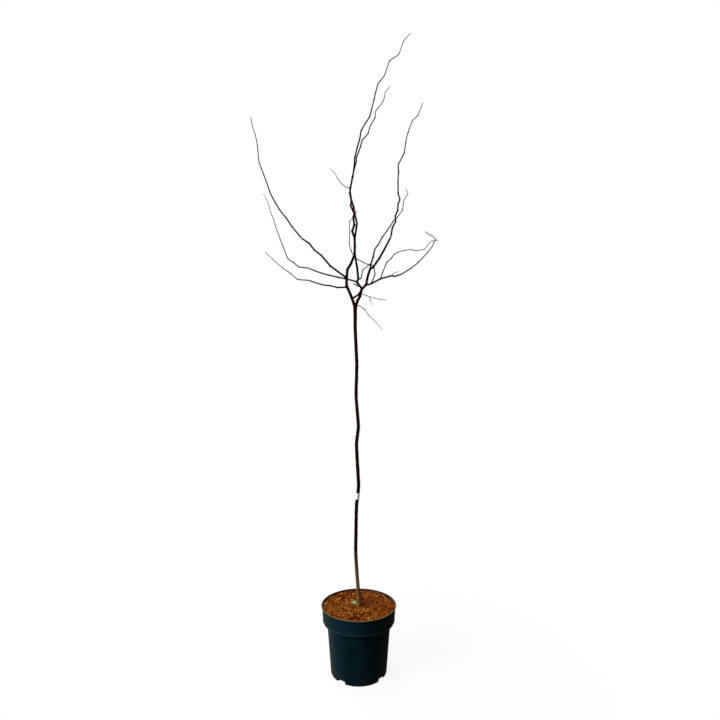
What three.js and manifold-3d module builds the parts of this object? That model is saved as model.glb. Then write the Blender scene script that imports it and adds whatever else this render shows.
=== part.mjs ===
// A young redbud standard, bare of leaves, in a round nursery pot topped with bark mulch.
// A slim crooked trunk forks above head height into long zigzag boughs, and each bough runs out into
// a mass of thin twigs. Every limb is a solid of its own and stands just clear of what carries it.
// Millimetres, +Z up, with the origin at the centre of the pot's flat underside.
import * as THREE from "three";
import { mergeVertices } from "three/addons/utils/BufferGeometryUtils.js";
import Module from "manifold-3d";

const wasm = await Module();
wasm.setup();

const GAP = 0.3; // between solids that touch in life
const MERGE = 1e-4; // corners closer than this are one corner
const CUT_PAST = 0.01; // a cut runs this far past the ends that it opens

// ---- Pot ----
const POT_HEIGHT = 261;
const RIM_RADIUS = 155.5;
const LIP_HEIGHT = 3.2; // bead round the top of the collar
const LIP_STAND_OUT = 2.3;
const COLLAR_HEIGHT = 58; // the plain band under the rim, with its lip
const COLLAR_DRAFT = 5.2; // the band narrows by this much to its lower edge
const UNDERCUT_HEIGHT = 12; // curved step from the band in to the body
const UNDERCUT_STEPS = 3;
const BODY_TOP_RADIUS = 130.5;
const BASE_RADIUS = 114.5;
const BASE_ROUND = 5;
const BASE_ROUND_STEPS = 2;
const WALL = 2.4;
const FLOOR = 3;
const POT_FACETS = 56;
const NOTCH_COUNT = 4; // drainage notches in the foot, each with a wall round it inside
const NOTCH_WIDTH = 38;
const NOTCH_HEIGHT = 12.5;
const NOTCH_DEPTH = 22;
const FIRST_NOTCH_BEARING = -127.5; // degrees from +X, seen from above

// ---- Fill, with its mulch ----
const MULCH_EDGE_HEIGHT = 250; // surface at the wall
const MULCH_FOOT_HEIGHT = 256; // surface round the trunk
const MULCH_LEVEL_RADIUS = 22; // level patch that the trunk stands on
const MULCH_ROUGHNESS = 2;
const MULCH_RINGS = 7;
const MULCH_SEED = 5;

// ---- Trunk ----
const TRUNK_RADIUS = 7.1;
const FLARE_RADIUS = 10.5; // root flare, at the flat cut
const FLARE_HEIGHT = 18; // height in which the flare falls to a third
const FORK_SWELL = 2.3; // the trunk thickens again under its fork
const FORK_FADE = 40;
const TRUNK_FACETS = 10;
const TRUNK_STEP = 24;
const TRUNK_BENDS = [
  [2, 0, MULCH_FOOT_HEIGHT + GAP],
  [2, 0, MULCH_FOOT_HEIGHT + 10],
  [-7, 5, 370],
  [-13, 9, 465],
  [-10, 1, 655],
  [-1, -6, 745],
  [-10, -10, 915],
  [-2, -2, 995],
  [-12, 6, 1125],
  [-9, 5, 1260],
  [-16, -4, 1420],
  [-16, 0, 1522],
];
const TAPE_BOTTOM = 687; // marker tape wound round the trunk
const TAPE_WIDTH = 25;
const TAPE_THICKNESS = 0.7;

// ---- Limbs ----
const BEND_SOFTNESS = 0.22; // 0 is a sharp bend at each node, 0.5 a smooth sweep
const NODE_SPACING = 42; // buds lie about this far apart
const ZIGZAG = 1.6; // each node is set this far to one side, then to the other
const NODE_TWIST = 25; // degrees that the zigzag turns from node to node
const NEAREST_SAMPLES = 400; // points of a limb that a foot is drawn on to
const BOUGH_FACETS = 7;
const BOUGH_STEP = 15;
const STEM_FACETS = 5;
const STEM_STEP = 17;

// ---- Side twigs ----
const TWIG_SEED = 11;
const TWIG_CHANCE = 0.34; // share of the nodes that carry one
const TWIG_LENGTH = [7, 16];
const TWIG_RADIUS = 0.8;
const TWIG_ANGLE = 52; // degrees from the stem
const TWIG_CURL = 12; // degrees that the twig turns back along the stem by its tip
const TWIG_SCATTER = 60; // degrees within which twigs turn off the zigzag's plane
const TWIG_FACETS = 3;
const TWIG_CLEARANCE = 7; // from every other limb
const CLEARANCE_STEP = 8; // between the points of a limb that the clearance is measured to

// One limb: its name, the limb that carries it, its radius at the foot and at the tip, and the bends
// of its centreline. The first bend is drawn on to the centreline of the limb that carries it.
const limb = (name, on, footRadius, tipRadius, bends) => ({ name, on, footRadius, tipRadius, bends });

const BOUGHS = [
  limb("bough_left_leader", "trunk", 6, 3, [
    [-16, 0, 1514], [-37, 0, 1570], [-54, -4, 1611], [-53, -10, 1650], [-50, -14, 1679], [-35, -13, 1706],
    [-20, -10, 1747], [-18, -17, 1780], [-19, -14, 1820], [-29, -10, 1855], [-21, -16, 1880],
    [-24, -22, 1913], [-20, -22, 1935], [-24, -17, 1964], [-34, -14, 1997], [-40, -18, 2028],
    [-37, -20, 2055], [-21, -10, 2157],
  ]),
  limb("bough_right_fork", "trunk", 5.9, 3.2, [
    [-16, 0, 1514], [-5, 1, 1544], [5, 3, 1564], [13, 0, 1594], [32, -6, 1614], [36, 0, 1637], [42, 0, 1661],
    [50, -6, 1683], [64, -14, 1691], [110, -44, 1758], [139, -60, 1811],
  ]),
  limb("bough_right_leader", "bough_right_fork", 4.6, 2.8, [
    [13, 0, 1596], [-7, 9, 1627], [-3, 16, 1648], [-17, 10, 1750], [-18, 21, 1833], [-9, 12, 1901],
    [-17, 18, 1938], [-37, 22, 1985], [-34, 14, 2010], [-40, 20, 2052], [-30, 12, 2117], [-17, 22, 2176],
  ]),
  limb("bough_cross", "bough_left_leader", 3.8, 3.4, [[-28, 0, 1553], [-4, -3, 1568], [11, 0, 1590]]),
  limb("bough_left_high", "bough_left_leader", 3.7, 2.7, [
    [-55, -10, 1642], [-90, -43, 1661], [-123, -60, 1682], [-136, -70, 1695], [-160, -84, 1720],
    [-189, -97, 1740], [-209, -104, 1765], [-242, -112, 1786],
  ]),
  limb("bough_left_mid", "bough_right_leader", 3, 2.4, [
    [-7, 12, 1630], [-95, 54, 1663], [-176, 94, 1694], [-246, 150, 1735],
  ]),
  limb("bough_left_low", "bough_left_leader", 2.8, 2.1, [
    [-54, -4, 1602], [-91, -18, 1598], [-154, -50, 1601], [-215, -66, 1617],
  ]),
  limb("bough_right_low", "bough_right_fork", 3.7, 2.4, [
    [32, -5, 1610], [54, -24, 1613], [94, -45, 1629], [138, -85, 1631], [151, -100, 1625], [175, -128, 1625],
  ]),
  limb("bough_right_inner", "bough_right_fork", 3.2, 2.6, [[50, -7, 1683], [53, 4, 1707], [71, 16, 1781]]),
];

// Each mass is one stem, which runs on from a bough's tip or leaves a limb's side, with its side twigs.
const MASSES = [
  limb("twigs_top", "bough_left_leader", 2.9, 1.1, [
    [-21, -10, 2157], [-19, -14, 2191], [-7, -20, 2239], [11, -30, 2312], [48, -22, 2382], [86, -45, 2524],
    [116, -38, 2570], [137, -52, 2626], [180, -47, 2665], [201, -61, 2715], [233, -58, 2758],
  ]),
  limb("twigs_top_second", "bough_right_leader", 2.7, 1.1, [
    [-17, 22, 2176], [-12, 30, 2200], [-11, 36, 2222], [7, 46, 2280], [16, 52, 2317], [43, 80, 2365],
    [53, 86, 2405], [76, 95, 2453], [82, 111, 2500], [116, 121, 2552], [130, 142, 2616], [155, 150, 2656],
  ]),
  limb("twigs_leader_side", "bough_left_leader", 1.6, 0.9, [
    [-39, -19, 2047], [-57, -24, 2052], [-74, -36, 2059], [-94, -54, 2078], [-102, -68, 2089],
    [-124, -80, 2108],
  ]),
  limb("twigs_right_high", "bough_right_fork", 3.1, 1.1, [
    [139, -60, 1811], [145, -72, 1847], [158, -80, 1871], [157, -84, 1894], [166, -88, 1916],
    [169, -90, 1945], [176, -88, 1966], [169, -94, 1990], [167, -112, 2040], [169, -114, 2108],
    [191, -138, 2145], [206, -146, 2227], [224, -167, 2269], [246, -172, 2291], [266, -190, 2335],
  ]),
  limb("twigs_right_inner", "bough_right_inner", 2.5, 1.2, [
    [71, 16, 1781], [121, 60, 1871], [164, 104, 1950], [180, 116, 1968], [212, 168, 2029], [220, 174, 2078],
    [242, 198, 2125], [232, 204, 2152],
  ]),
  limb("twigs_right_low", "bough_right_low", 2.2, 1, [
    [175, -128, 1625], [235, -202, 1651], [265, -246, 1676], [285, -268, 1698], [287, -278, 1708],
    [294, -284, 1717], [281, -292, 1729], [269, -284, 1738], [254, -278, 1752],
  ]),
  limb("twigs_low_spur", "bough_right_low", 1.3, 0.9, [[138, -85, 1631], [149, -82, 1643], [170, -84, 1652]]),
  limb("twigs_right_arching", "bough_right_low", 2.1, 1.1, [
    [94, -45, 1629], [104, -24, 1663], [125, 2, 1716], [162, 28, 1763], [191, 60, 1786], [241, 100, 1807],
    [284, 148, 1820], [316, 168, 1834], [340, 190, 1866], [359, 202, 1886], [394, 222, 1896],
  ]),
  limb("twigs_centre", "bough_right_low", 2.1, 1.1, [
    [53, -24, 1614], [70, -34, 1650], [64, -46, 1683], [49, -44, 1694], [41, -50, 1690], [-12, -54, 1716],
    [-32, -68, 1742], [-41, -66, 1777], [-40, -97, 1864], [-23, -103, 1879], [-7, -112, 1905],
  ]),
  limb("twigs_inner", "bough_right_leader", 1.8, 1.1, [
    [-4, 15, 1642], [9, 24, 1650], [19, 44, 1695], [53, 80, 1732],
  ]),
  limb("twigs_left_high", "bough_left_high", 2.6, 1, [
    [-242, -112, 1786], [-277, -136, 1825], [-324, -175, 1882], [-360, -186, 1945], [-399, -228, 2055],
    [-409, -225, 2131], [-432, -250, 2234],
  ]),
  limb("twigs_left_mid", "bough_left_mid", 2.3, 1, [
    [-246, 150, 1735], [-289, 165, 1744], [-349, 213, 1799], [-391, 226, 1900], [-471, 260, 2124],
    [-492, 280, 2161],
  ]),
  limb("twigs_left_low", "bough_left_low", 2, 1, [
    [-215, -66, 1617], [-258, -88, 1615], [-321, -106, 1660], [-388, -140, 1716],
  ]),
  limb("twigs_fork_right", "bough_right_fork", 1.5, 1, [
    [9, 3, 1575], [31, -20, 1562], [64, -49, 1544], [116, -118, 1520],
  ]),
  limb("twigs_fork_under", "twigs_fork_right", 1.2, 0.9, [[44, -32, 1555], [50, -46, 1538], [54, -60, 1509]]),
  limb("twigs_fork_low", "bough_right_fork", 1.5, 1, [
    [-13, 1, 1522], [3, 10, 1521], [21, 27, 1513], [64, 58, 1470], [107, 100, 1430],
  ]),
  limb("twigs_stub", "bough_right_leader", 2, 1.4, [[3, 5, 1611], [-5, 20, 1614], [-24, 42, 1631]]),
];

// ---- Finishes ----
const finish = (color, roughness) => new THREE.MeshStandardMaterial({ color, roughness, metalness: 0 });
const FINISHES = {
  plastic: finish(0x0d1a26, 0.45),
  mulch: finish(0x7c4517, 0.95),
  bark: finish(0x2c1712, 0.75),
  tape: finish(0xf0efe9, 0.5),
};

const degrees = THREE.MathUtils.degToRad;
const vector = (point) => new THREE.Vector3(...point);

// A seeded stream of numbers from 0 up to 1.
function seededStream(seed) {
  let state = seed;
  return () => {
    state = (state + 0x6d2b79f5) | 0;
    let mixed = Math.imul(state ^ (state >>> 15), 1 | state);
    mixed = (mixed + Math.imul(mixed ^ (mixed >>> 7), 61 | mixed)) ^ mixed;
    return ((mixed ^ (mixed >>> 14)) >>> 0) / 2 ** 32;
  };
}

// ---- Solids ----
// A closed three.js geometry as a solid, and a solid as a named mesh.
function solidOf(geometry) {
  geometry.deleteAttribute("normal");
  geometry.deleteAttribute("uv");
  const merged = mergeVertices(geometry, MERGE);
  return new wasm.Manifold(
    new wasm.Mesh({
      numProp: 3,
      vertProperties: merged.attributes.position.array,
      triVerts: new Uint32Array(merged.index.array),
    }),
  );
}

function meshOf(name, solid, material) {
  const { vertProperties, triVerts } = solid.getMesh();
  const geometry = new THREE.BufferGeometry();
  geometry.setAttribute("position", new THREE.BufferAttribute(vertProperties, 3));
  geometry.setIndex(new THREE.BufferAttribute(triVerts, 1));
  geometry.computeVertexNormals();
  const mesh = new THREE.Mesh(geometry, material);
  mesh.name = name;
  return mesh;
}

const largestOf = (solid) => solid.decompose().reduce((a, b) => (b.volume() > a.volume() ? b : a));

// A LatheGeometry of the profile, turned so that its axis is Z.
function latheSolid(profile, facets) {
  const points = profile.map(([radius, height]) => new THREE.Vector2(radius, height));
  return solidOf(new THREE.LatheGeometry(points, facets).rotateX(Math.PI / 2));
}

// ---- Centrelines ----
// A unit vector square to a direction: level and across the X-Z plane, then turned about the direction.
function sideways(direction, turn) {
  const level = new THREE.Vector3(0, 1, 0).cross(direction).normalize();
  return level.applyAxisAngle(direction, turn);
}

// The bends with a node about every NODE_SPACING between them, set to one side and the other.
function withNodes(bends) {
  const nodes = [bends[0]];
  let count = 0;
  bends.slice(1).forEach((bend, index) => {
    const start = bends[index];
    const parts = Math.max(1, Math.round(start.distanceTo(bend) / NODE_SPACING));
    const along = bend.clone().sub(start).normalize();
    for (let part = 1; part < parts; part++) {
      count += 1;
      const side = sideways(along, degrees(NODE_TWIST * count));
      const shift = count % 2 ? ZIGZAG : -ZIGZAG;
      nodes.push(start.clone().lerp(bend, part / parts).addScaledVector(side, shift));
    }
    nodes.push(bend);
  });
  return nodes;
}

const centreline = (nodes) => new THREE.CatmullRomCurve3(nodes, false, "catmullrom", BEND_SOFTNESS);

// The point of a centreline that lies nearest to a place.
function nearestOn(curve, place) {
  const samples = curve.getSpacedPoints(NEAREST_SAMPLES);
  return samples.reduce((a, b) => (b.distanceTo(place) < a.distanceTo(place) ? b : a)).clone();
}

// ---- Tubes ----
// A closed tube along a centreline. radiusAt gives the radius for a share of the length, and grown
// is added all round and at both ends.
function tubeSolid(curve, radiusAt, facets, step, grown = 0) {
  const rings = Math.max(1, Math.round(curve.getLength() / step));
  const frames = curve.computeFrenetFrames(rings);
  const geometry = new THREE.CylinderGeometry(1, 1, 1, facets, rings);
  const position = geometry.attributes.position;
  for (let i = 0; i < position.count; i++) {
    const share = position.getY(i) + 0.5;
    const ring = Math.round(share * rings);
    const radius = radiusAt(share) + grown / Math.cos(Math.PI / facets);
    const end = ring === 0 ? -grown : ring === rings ? grown : 0;
    const place = curve.getPointAt(ring / rings);
    place.addScaledVector(frames.tangents[ring], end);
    place.addScaledVector(frames.normals[ring], position.getX(i) * radius);
    place.addScaledVector(frames.binormals[ring], -position.getZ(i) * radius);
    position.setXYZ(i, place.x, place.y, place.z);
  }
  return solidOf(geometry);
}

const taper = (foot, tip) => (share) => foot + (tip - foot) * share;

// ---- Pot, fill and tape ----
const BODY_TOP = POT_HEIGHT - COLLAR_HEIGHT - UNDERCUT_HEIGHT;
const COLLAR_TOP_RADIUS = RIM_RADIUS - LIP_STAND_OUT;
const COLLAR_BOTTOM_RADIUS = COLLAR_TOP_RADIUS - COLLAR_DRAFT;
const INSIDE_FLOOR_RADIUS = BASE_RADIUS - WALL - BASE_ROUND / 4;

// The pot's profile from the underside up to the top of its collar, inset evenly: a quarter turn of
// each of two ellipses rounds the foot and carries the body out to the collar.
function potProfile(inset) {
  const profile = [];
  for (let k = 0; k <= BASE_ROUND_STEPS; k++) {
    const turn = (Math.PI / 2) * (k / BASE_ROUND_STEPS);
    profile.push([
      BASE_RADIUS - BASE_ROUND + BASE_ROUND * Math.sin(turn) - inset,
      BASE_ROUND * (1 - Math.cos(turn)),
    ]);
  }
  for (let k = 0; k <= UNDERCUT_STEPS; k++) {
    const turn = (Math.PI / 2) * (k / UNDERCUT_STEPS);
    profile.push([
      BODY_TOP_RADIUS + (COLLAR_BOTTOM_RADIUS - BODY_TOP_RADIUS) * Math.sin(turn) - inset,
      BODY_TOP + UNDERCUT_HEIGHT * (1 - Math.cos(turn)) + inset,
    ]);
  }
  profile.push([COLLAR_TOP_RADIUS - inset, POT_HEIGHT]);
  return profile;
}

// A box at each notch in the foot, grown all round.
function notchSolids(grown) {
  return Array.from({ length: NOTCH_COUNT }, (_, k) => {
    const size = [2 * (NOTCH_DEPTH + grown), NOTCH_WIDTH + 2 * grown, 2 * (NOTCH_HEIGHT + grown)];
    const box = new THREE.BoxGeometry(...size).translate(BASE_RADIUS, 0, 0);
    return solidOf(box.rotateZ(degrees(FIRST_NOTCH_BEARING) + (2 * Math.PI * k) / NOTCH_COUNT));
  });
}

const without = (solid, others) => others.reduce((rest, other) => rest.subtract(other), solid);

// The outer shape with its lip, less the space inside and the notches. The space keeps clear of the
// walls that stand round the notches.
function potSolid() {
  const collar = potProfile(0).slice(0, -1);
  const [lowRadius, lowHeight] = collar.at(-1);
  const lipFoot = POT_HEIGHT - LIP_HEIGHT;
  const share = (lipFoot - lowHeight) / (POT_HEIGHT - lowHeight);
  const underLip = [THREE.MathUtils.lerp(lowRadius, COLLAR_TOP_RADIUS, share), lipFoot];
  const lip = [underLip, [RIM_RADIUS, lipFoot], [RIM_RADIUS, POT_HEIGHT], [0, POT_HEIGHT]];
  const outside = latheSolid([[0, 0], ...collar, ...lip], POT_FACETS);
  const inside = potProfile(WALL).filter(([, height]) => height > FLOOR);
  const top = POT_HEIGHT + CUT_PAST;
  const open = [[inside.at(-1)[0], top], [0, top]];
  const space = latheSolid([[0, FLOOR], [INSIDE_FLOOR_RADIUS, FLOOR], ...inside, ...open], POT_FACETS);
  return without(outside, [without(space, notchSolids(WALL)), ...notchSolids(0)]);
}

// The fill follows the pot's inside and its notch walls at GAP, and ends in the uneven mulch surface.
function fillSolid() {
  const sides = potProfile(WALL + GAP).filter(([, height]) => height > FLOOR && height < MULCH_EDGE_HEIGHT);
  const [lowRadius, lowHeight] = sides.at(-1);
  const share = (MULCH_EDGE_HEIGHT - lowHeight) / (POT_HEIGHT - lowHeight);
  const edgeRadius = THREE.MathUtils.lerp(lowRadius, COLLAR_TOP_RADIUS - WALL - GAP, share);
  const surface = [];
  for (let k = 0; k <= MULCH_RINGS; k++) {
    const radius = THREE.MathUtils.lerp(edgeRadius, MULCH_LEVEL_RADIUS, k / MULCH_RINGS);
    const height = THREE.MathUtils.lerp(MULCH_EDGE_HEIGHT, MULCH_FOOT_HEIGHT, k / MULCH_RINGS);
    surface.push([radius, height]);
  }
  const floor = [[0, FLOOR + GAP], [INSIDE_FLOOR_RADIUS - GAP, FLOOR + GAP]];
  const smooth = latheSolid([...floor, ...sides, ...surface, [0, MULCH_FOOT_HEIGHT]], POT_FACETS);
  const random = seededStream(MULCH_SEED);
  const uneven = smooth.warp((corner) => {
    const outsidePatch = Math.hypot(corner[0], corner[1]) > MULCH_LEVEL_RADIUS + MERGE;
    const bump = (2 * random() - 1) * MULCH_ROUGHNESS;
    if (outsidePatch && corner[2] > MULCH_EDGE_HEIGHT + MERGE) corner[2] += bump;
  });
  return without(uneven, notchSolids(WALL + GAP));
}

// ---- Assembly ----
const tree = new THREE.Group();
tree.name = "redbud_tree";
const standing = []; // every limb so far, grown by GAP

// Adds a limb and its twigs, cut back from every limb that already stands.
function addLimb(name, curve, radiusAt, facets, step, twigs = []) {
  let solid = tubeSolid(curve, radiusAt, facets, step);
  for (const twig of twigs) solid = solid.add(twig);
  solid = without(solid, standing);
  standing.push(tubeSolid(curve, radiusAt, facets, step, GAP));
  tree.add(meshOf(name, largestOf(solid), FINISHES.bark));
}

const trunkCurve = centreline(TRUNK_BENDS.map(vector));
const trunkLength = trunkCurve.getLength();

function trunkRadius(share) {
  const height = share * trunkLength;
  const flare = (FLARE_RADIUS - TRUNK_RADIUS) * Math.exp(-height / FLARE_HEIGHT);
  const swell = FORK_SWELL * Math.exp((height - trunkLength) / FORK_FADE);
  return TRUNK_RADIUS + flare + swell;
}

// The tape is a sleeve round the trunk's centreline between two heights.
function tapeSolid() {
  const stretch = new THREE.CatmullRomCurve3(
    [0, 0.5, 1].map((share) => {
      const height = TAPE_BOTTOM + TAPE_WIDTH * share;
      return nearestOn(trunkCurve, new THREE.Vector3(0, 0, height));
    }),
  );
  const radius = TRUNK_RADIUS / Math.cos(Math.PI / TRUNK_FACETS) + GAP;
  const outside = tubeSolid(stretch, () => radius + TAPE_THICKNESS, 2 * TRUNK_FACETS, TAPE_WIDTH / 2);
  const inside = tubeSolid(stretch, () => radius, 2 * TRUNK_FACETS, TAPE_WIDTH / 2, CUT_PAST);
  return outside.subtract(inside);
}

tree.add(meshOf("pot", potSolid(), FINISHES.plastic));
tree.add(meshOf("mulch_fill", fillSolid(), FINISHES.mulch));
addLimb("trunk", trunkCurve, trunkRadius, TRUNK_FACETS, TRUNK_STEP);
tree.add(meshOf("trunk_tape", tapeSolid(), FINISHES.tape));

// The centreline of a limb, with its foot on the limb that carries it.
function curveOf({ on, bends }, curves) {
  const [foot, ...rest] = bends.map(vector);
  return centreline(withNodes([nearestOn(curves.get(on), foot), ...rest]));
}

const curves = new Map([["trunk", trunkCurve]]);
for (const row of [...BOUGHS, ...MASSES]) curves.set(row.name, curveOf(row, curves));

for (const { name, footRadius, tipRadius } of BOUGHS)
  addLimb(name, curves.get(name), taper(footRadius, tipRadius), BOUGH_FACETS, BOUGH_STEP);

// ---- Side twigs ----
const samplesAlong = (curve) => curve.getSpacedPoints(Math.ceil(curve.getLength() / CLEARANCE_STEP));
const samplesOf = new Map([...curves].map(([name, curve]) => [name, samplesAlong(curve)]));
const CROWN = new THREE.Box3().setFromPoints(MASSES.flatMap(({ bends }) => bends.map(vector)));
const nearestGap = (place, points) => Math.min(...points.map((point) => point.distanceTo(place)));

// A place is in a mass's own space when it is inside the crown, and nearer to the mass's stem than to
// any other limb, with room to spare.
function inOwnSpace(place, name) {
  const own = nearestGap(place, samplesOf.get(name));
  return (
    CROWN.containsPoint(place) &&
    [...samplesOf].every(([other, points]) => {
      const gap = other === name ? Infinity : nearestGap(place, points);
      return gap > own && gap > TWIG_CLEARANCE;
    })
  );
}

// Side twigs leave the stem at its nodes, alternately to one side and the other.
function sideTwigs(name, curve, random) {
  const nodes = curve.points.length - 1;
  const twigs = [];
  for (let node = 1; node < nodes; node++) {
    const [draw, size, turn] = [random(), random(), random()];
    if (draw > TWIG_CHANCE) continue;
    const foot = curve.points[node];
    const along = curve.getTangent(node / nodes);
    const side = sideways(along, degrees(NODE_TWIST * node + TWIG_SCATTER * (turn - 0.5)));
    side.multiplyScalar(node % 2 ? 1 : -1);
    const length = THREE.MathUtils.lerp(...TWIG_LENGTH, size);
    const reach = (share, angle) => {
      const place = foot.clone().addScaledVector(along, length * share * Math.cos(degrees(angle)));
      return place.addScaledVector(side, length * share * Math.sin(degrees(angle)));
    };
    const bends = [foot.clone(), reach(0.5, TWIG_ANGLE), reach(1, TWIG_ANGLE - TWIG_CURL)];
    if (!bends.slice(1).every((bend) => inOwnSpace(bend, name))) continue;
    twigs.push(tubeSolid(centreline(bends), taper(TWIG_RADIUS, TWIG_RADIUS / 2), TWIG_FACETS, length / 2));
  }
  return twigs;
}

const random = seededStream(TWIG_SEED);
for (const { name, footRadius, tipRadius } of MASSES) {
  const curve = curves.get(name);
  const twigs = sideTwigs(name, curve, random);
  addLimb(name, curve, taper(footRadius, tipRadius), STEM_FACETS, STEM_STEP, twigs);
}

export default tree;
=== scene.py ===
"""Looks of a young redbud standard, bare of leaves, in a nursery pot topped with bark mulch.

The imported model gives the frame. Each limb is modelled as a straight rod, gets its taper, its swollen
nodes and the relief of its bark, and is bent along its centreline. The pot, the tape and the bed of
mulch are modelled as by hand, and the small things are copied from a few modelled shapes. Sizes are in
millimetres up to the point where a mesh is made, where MM turns them into metres.
"""

import functools
import math
from contextlib import contextmanager
from typing import NamedTuple

import bpy
import numpy as np
from bpy.props import FloatProperty, FloatVectorProperty, IntProperty, PointerProperty
from mathutils import Matrix, Vector, noise


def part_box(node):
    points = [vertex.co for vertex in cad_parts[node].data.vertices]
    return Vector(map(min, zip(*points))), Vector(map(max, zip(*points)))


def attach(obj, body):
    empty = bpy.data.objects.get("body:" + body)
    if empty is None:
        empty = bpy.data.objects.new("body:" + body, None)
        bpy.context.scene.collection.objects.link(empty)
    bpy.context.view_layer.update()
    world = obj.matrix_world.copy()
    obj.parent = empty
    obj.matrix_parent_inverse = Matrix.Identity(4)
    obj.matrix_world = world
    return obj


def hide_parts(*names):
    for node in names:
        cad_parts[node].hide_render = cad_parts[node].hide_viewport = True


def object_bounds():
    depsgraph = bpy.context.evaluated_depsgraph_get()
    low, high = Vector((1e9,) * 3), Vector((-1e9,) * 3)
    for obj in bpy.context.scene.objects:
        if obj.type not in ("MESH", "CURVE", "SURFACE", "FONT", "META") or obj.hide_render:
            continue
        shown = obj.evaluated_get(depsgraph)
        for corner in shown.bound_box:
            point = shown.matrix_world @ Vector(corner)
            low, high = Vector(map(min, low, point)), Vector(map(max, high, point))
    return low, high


bl_info = {
    "name": "Redbud in a Nursery Pot",
    "version": (1, 0, 0),
    "blender": (4, 5, 0),
    "location": "View3D > Sidebar > Redbud",
    "description": "Dresses the frame of a young redbud with bark, buds, fine twigs, a pot and mulch",
    "category": "Add Mesh",
}

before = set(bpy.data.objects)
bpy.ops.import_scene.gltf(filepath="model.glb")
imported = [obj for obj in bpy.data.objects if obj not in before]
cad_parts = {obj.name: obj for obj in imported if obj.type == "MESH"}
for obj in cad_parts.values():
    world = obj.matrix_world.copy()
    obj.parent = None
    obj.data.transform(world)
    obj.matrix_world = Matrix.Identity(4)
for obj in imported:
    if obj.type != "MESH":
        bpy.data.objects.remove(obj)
CAD_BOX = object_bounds()

BODY = "root"
MM = 0.001

# ---- Pot, in millimetres ----
POT_LOW, POT_HIGH = (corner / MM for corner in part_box("pot"))
POT_HEIGHT = POT_HIGH.z
RIM_RADIUS = (POT_HIGH.x - POT_LOW.x) / 2
LIP_HEIGHT = 3.2  # bead round the top of the collar
LIP_STAND_OUT = 2.3
COLLAR_HEIGHT = 58  # the plain band under the rim, with its lip
COLLAR_DRAFT = 5.2  # the band narrows by this much to its lower edge
COLLAR_TOP_RADIUS = RIM_RADIUS - LIP_STAND_OUT
COLLAR_BOTTOM_RADIUS = COLLAR_TOP_RADIUS - COLLAR_DRAFT
COLLAR_BEAD = 1.2  # rounded bead along the band's lower edge
UNDERCUT_HEIGHT = 12  # curved step from the band in to the body
UNDERCUT_STEPS = 8
BODY_TOP = POT_HEIGHT - COLLAR_HEIGHT - UNDERCUT_HEIGHT
BODY_TOP_RADIUS = 130.5
BASE_RADIUS = 114.5
BASE_ROUND = 5
BASE_ROUND_STEPS = 5
FOOT_RING = 15  # width of the ring that the pot stands on
FOOT_RECESS = 1.4  # the middle of the underside is set this far up
CENTRE_DISC = 14  # radius of the flat disc that closes the floor's middle
WALL = 2.4
FLOOR = 3
FLOOR_EDGE = 1  # the flat of the floor ends this far from the wall
FOOT_CHAMFER = 1.5
BEAD_ARC = (-60, 70, 5)  # degrees from level at the ends of the band's bead, and its steps
LIP_GROOVE = 0.6
LIP_ROUND = 0.45 * LIP_HEIGHT
LIP_STEPS = 4  # of each rounded edge of the lip
MOUTH_DEPTH = 1.2  # the mouth begins to widen this far under the rim
MOUTH_EDGE = ((0.5, -0.4), (1.6, 0.4), (1.6, LIP_HEIGHT))  # out from the wall, and up from the rim
NOTCH_COUNT = 4  # drainage notches in the foot, each with a wall round it inside
NOTCH_WIDTH = 38
NOTCH_HEIGHT = 12.5
NOTCH_DEPTH = 22
NOTCH_ROUND = 3
FIRST_NOTCH_BEARING = -127.5  # degrees from +X, seen from above

# ---- Mulch, in millimetres ----
GAP = 0.3  # between solids that touch in life
MULCH_FOOT_HEIGHT = 256  # surface round the trunk
BED_EDGE_HEIGHT = 250  # the compost under the chips, at the wall
BED_FOOT_HEIGHT = 252.5
BED_SIDES = 96
BED_RINGS = 40
BED_BUMP = 1.6
BED_BUMP_SPACING = 17
BED_BUMP_LAYER = 0.5  # of the noise
CHIP_LAYER = 4.6  # chips lie within this height over the compost
CHIP_TOP = POT_HEIGHT - 0.8  # no chip stands higher
CHIP_MARGIN = 2  # from the wall to the middle of the outermost chip
CHIP_SHAPES = 5
CHIP_ROUGHNESS = 0.14  # how far the corners of a flake of size 1 are thrown
CHIP_TAPER = 0.5  # how fast it narrows from its middle to its ends
CHIP_SPREAD = 0.32  # of the lengths, in logarithms
CHIP_WIDTH = (0.35, 0.7)  # least and most, as shares of the length
CHIP_THICKNESS = (0.16, 0.34)
CHIP_TILT = 0.19  # in radians
CHIP_SETTLING = 1.3  # above 1, more of the chips lie low
CRUMB_ROUGHNESS = 0.3
CRUMB_LENGTH = 0.26  # share of a chip's length
CRUMB_PARTS = (1, 0.8, 0.6)  # its length, width and thickness, as shares of its length

# ---- Trunk, in millimetres ----
TRUNK_RADIUS = 7.1
FLARE_RADIUS = 10.5
FLARE_HEIGHT = 18
FORK_SWELL = 2.3
FORK_FADE = 40
TRUNK_SIDES = 32
TRUNK_STEP = 1.6
TRUNK_BENDS = (
    (2, 0, MULCH_FOOT_HEIGHT + GAP),
    (2, 0, MULCH_FOOT_HEIGHT + 10),
    (-7, 5, 370),
    (-13, 9, 465),
    (-10, 1, 655),
    (-1, -6, 745),
    (-10, -10, 915),
    (-2, -2, 995),
    (-12, 6, 1125),
    (-9, 5, 1260),
    (-16, -4, 1420),
    (-16, 0, 1522),
)
TAPE_BOTTOM = 687
TAPE_WIDTH = 25
TAPE_RADIUS = 8
TAPE_PLY = 0.22
TAPE_TURNS = 1.35
TAPE_START = -60  # bearing of its inner end, in degrees from +X
TAPE_SLACK = 0.12  # between its turns, and the height of its wrinkles
TAPE_DRIFT = 0.8  # up and down as it winds
WRINKLE_SPACING = (3.2, 3.2, 5)
TAPE_SMOOTHING = 0.62  # the bark is smooth within this share of the tape's width


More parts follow.
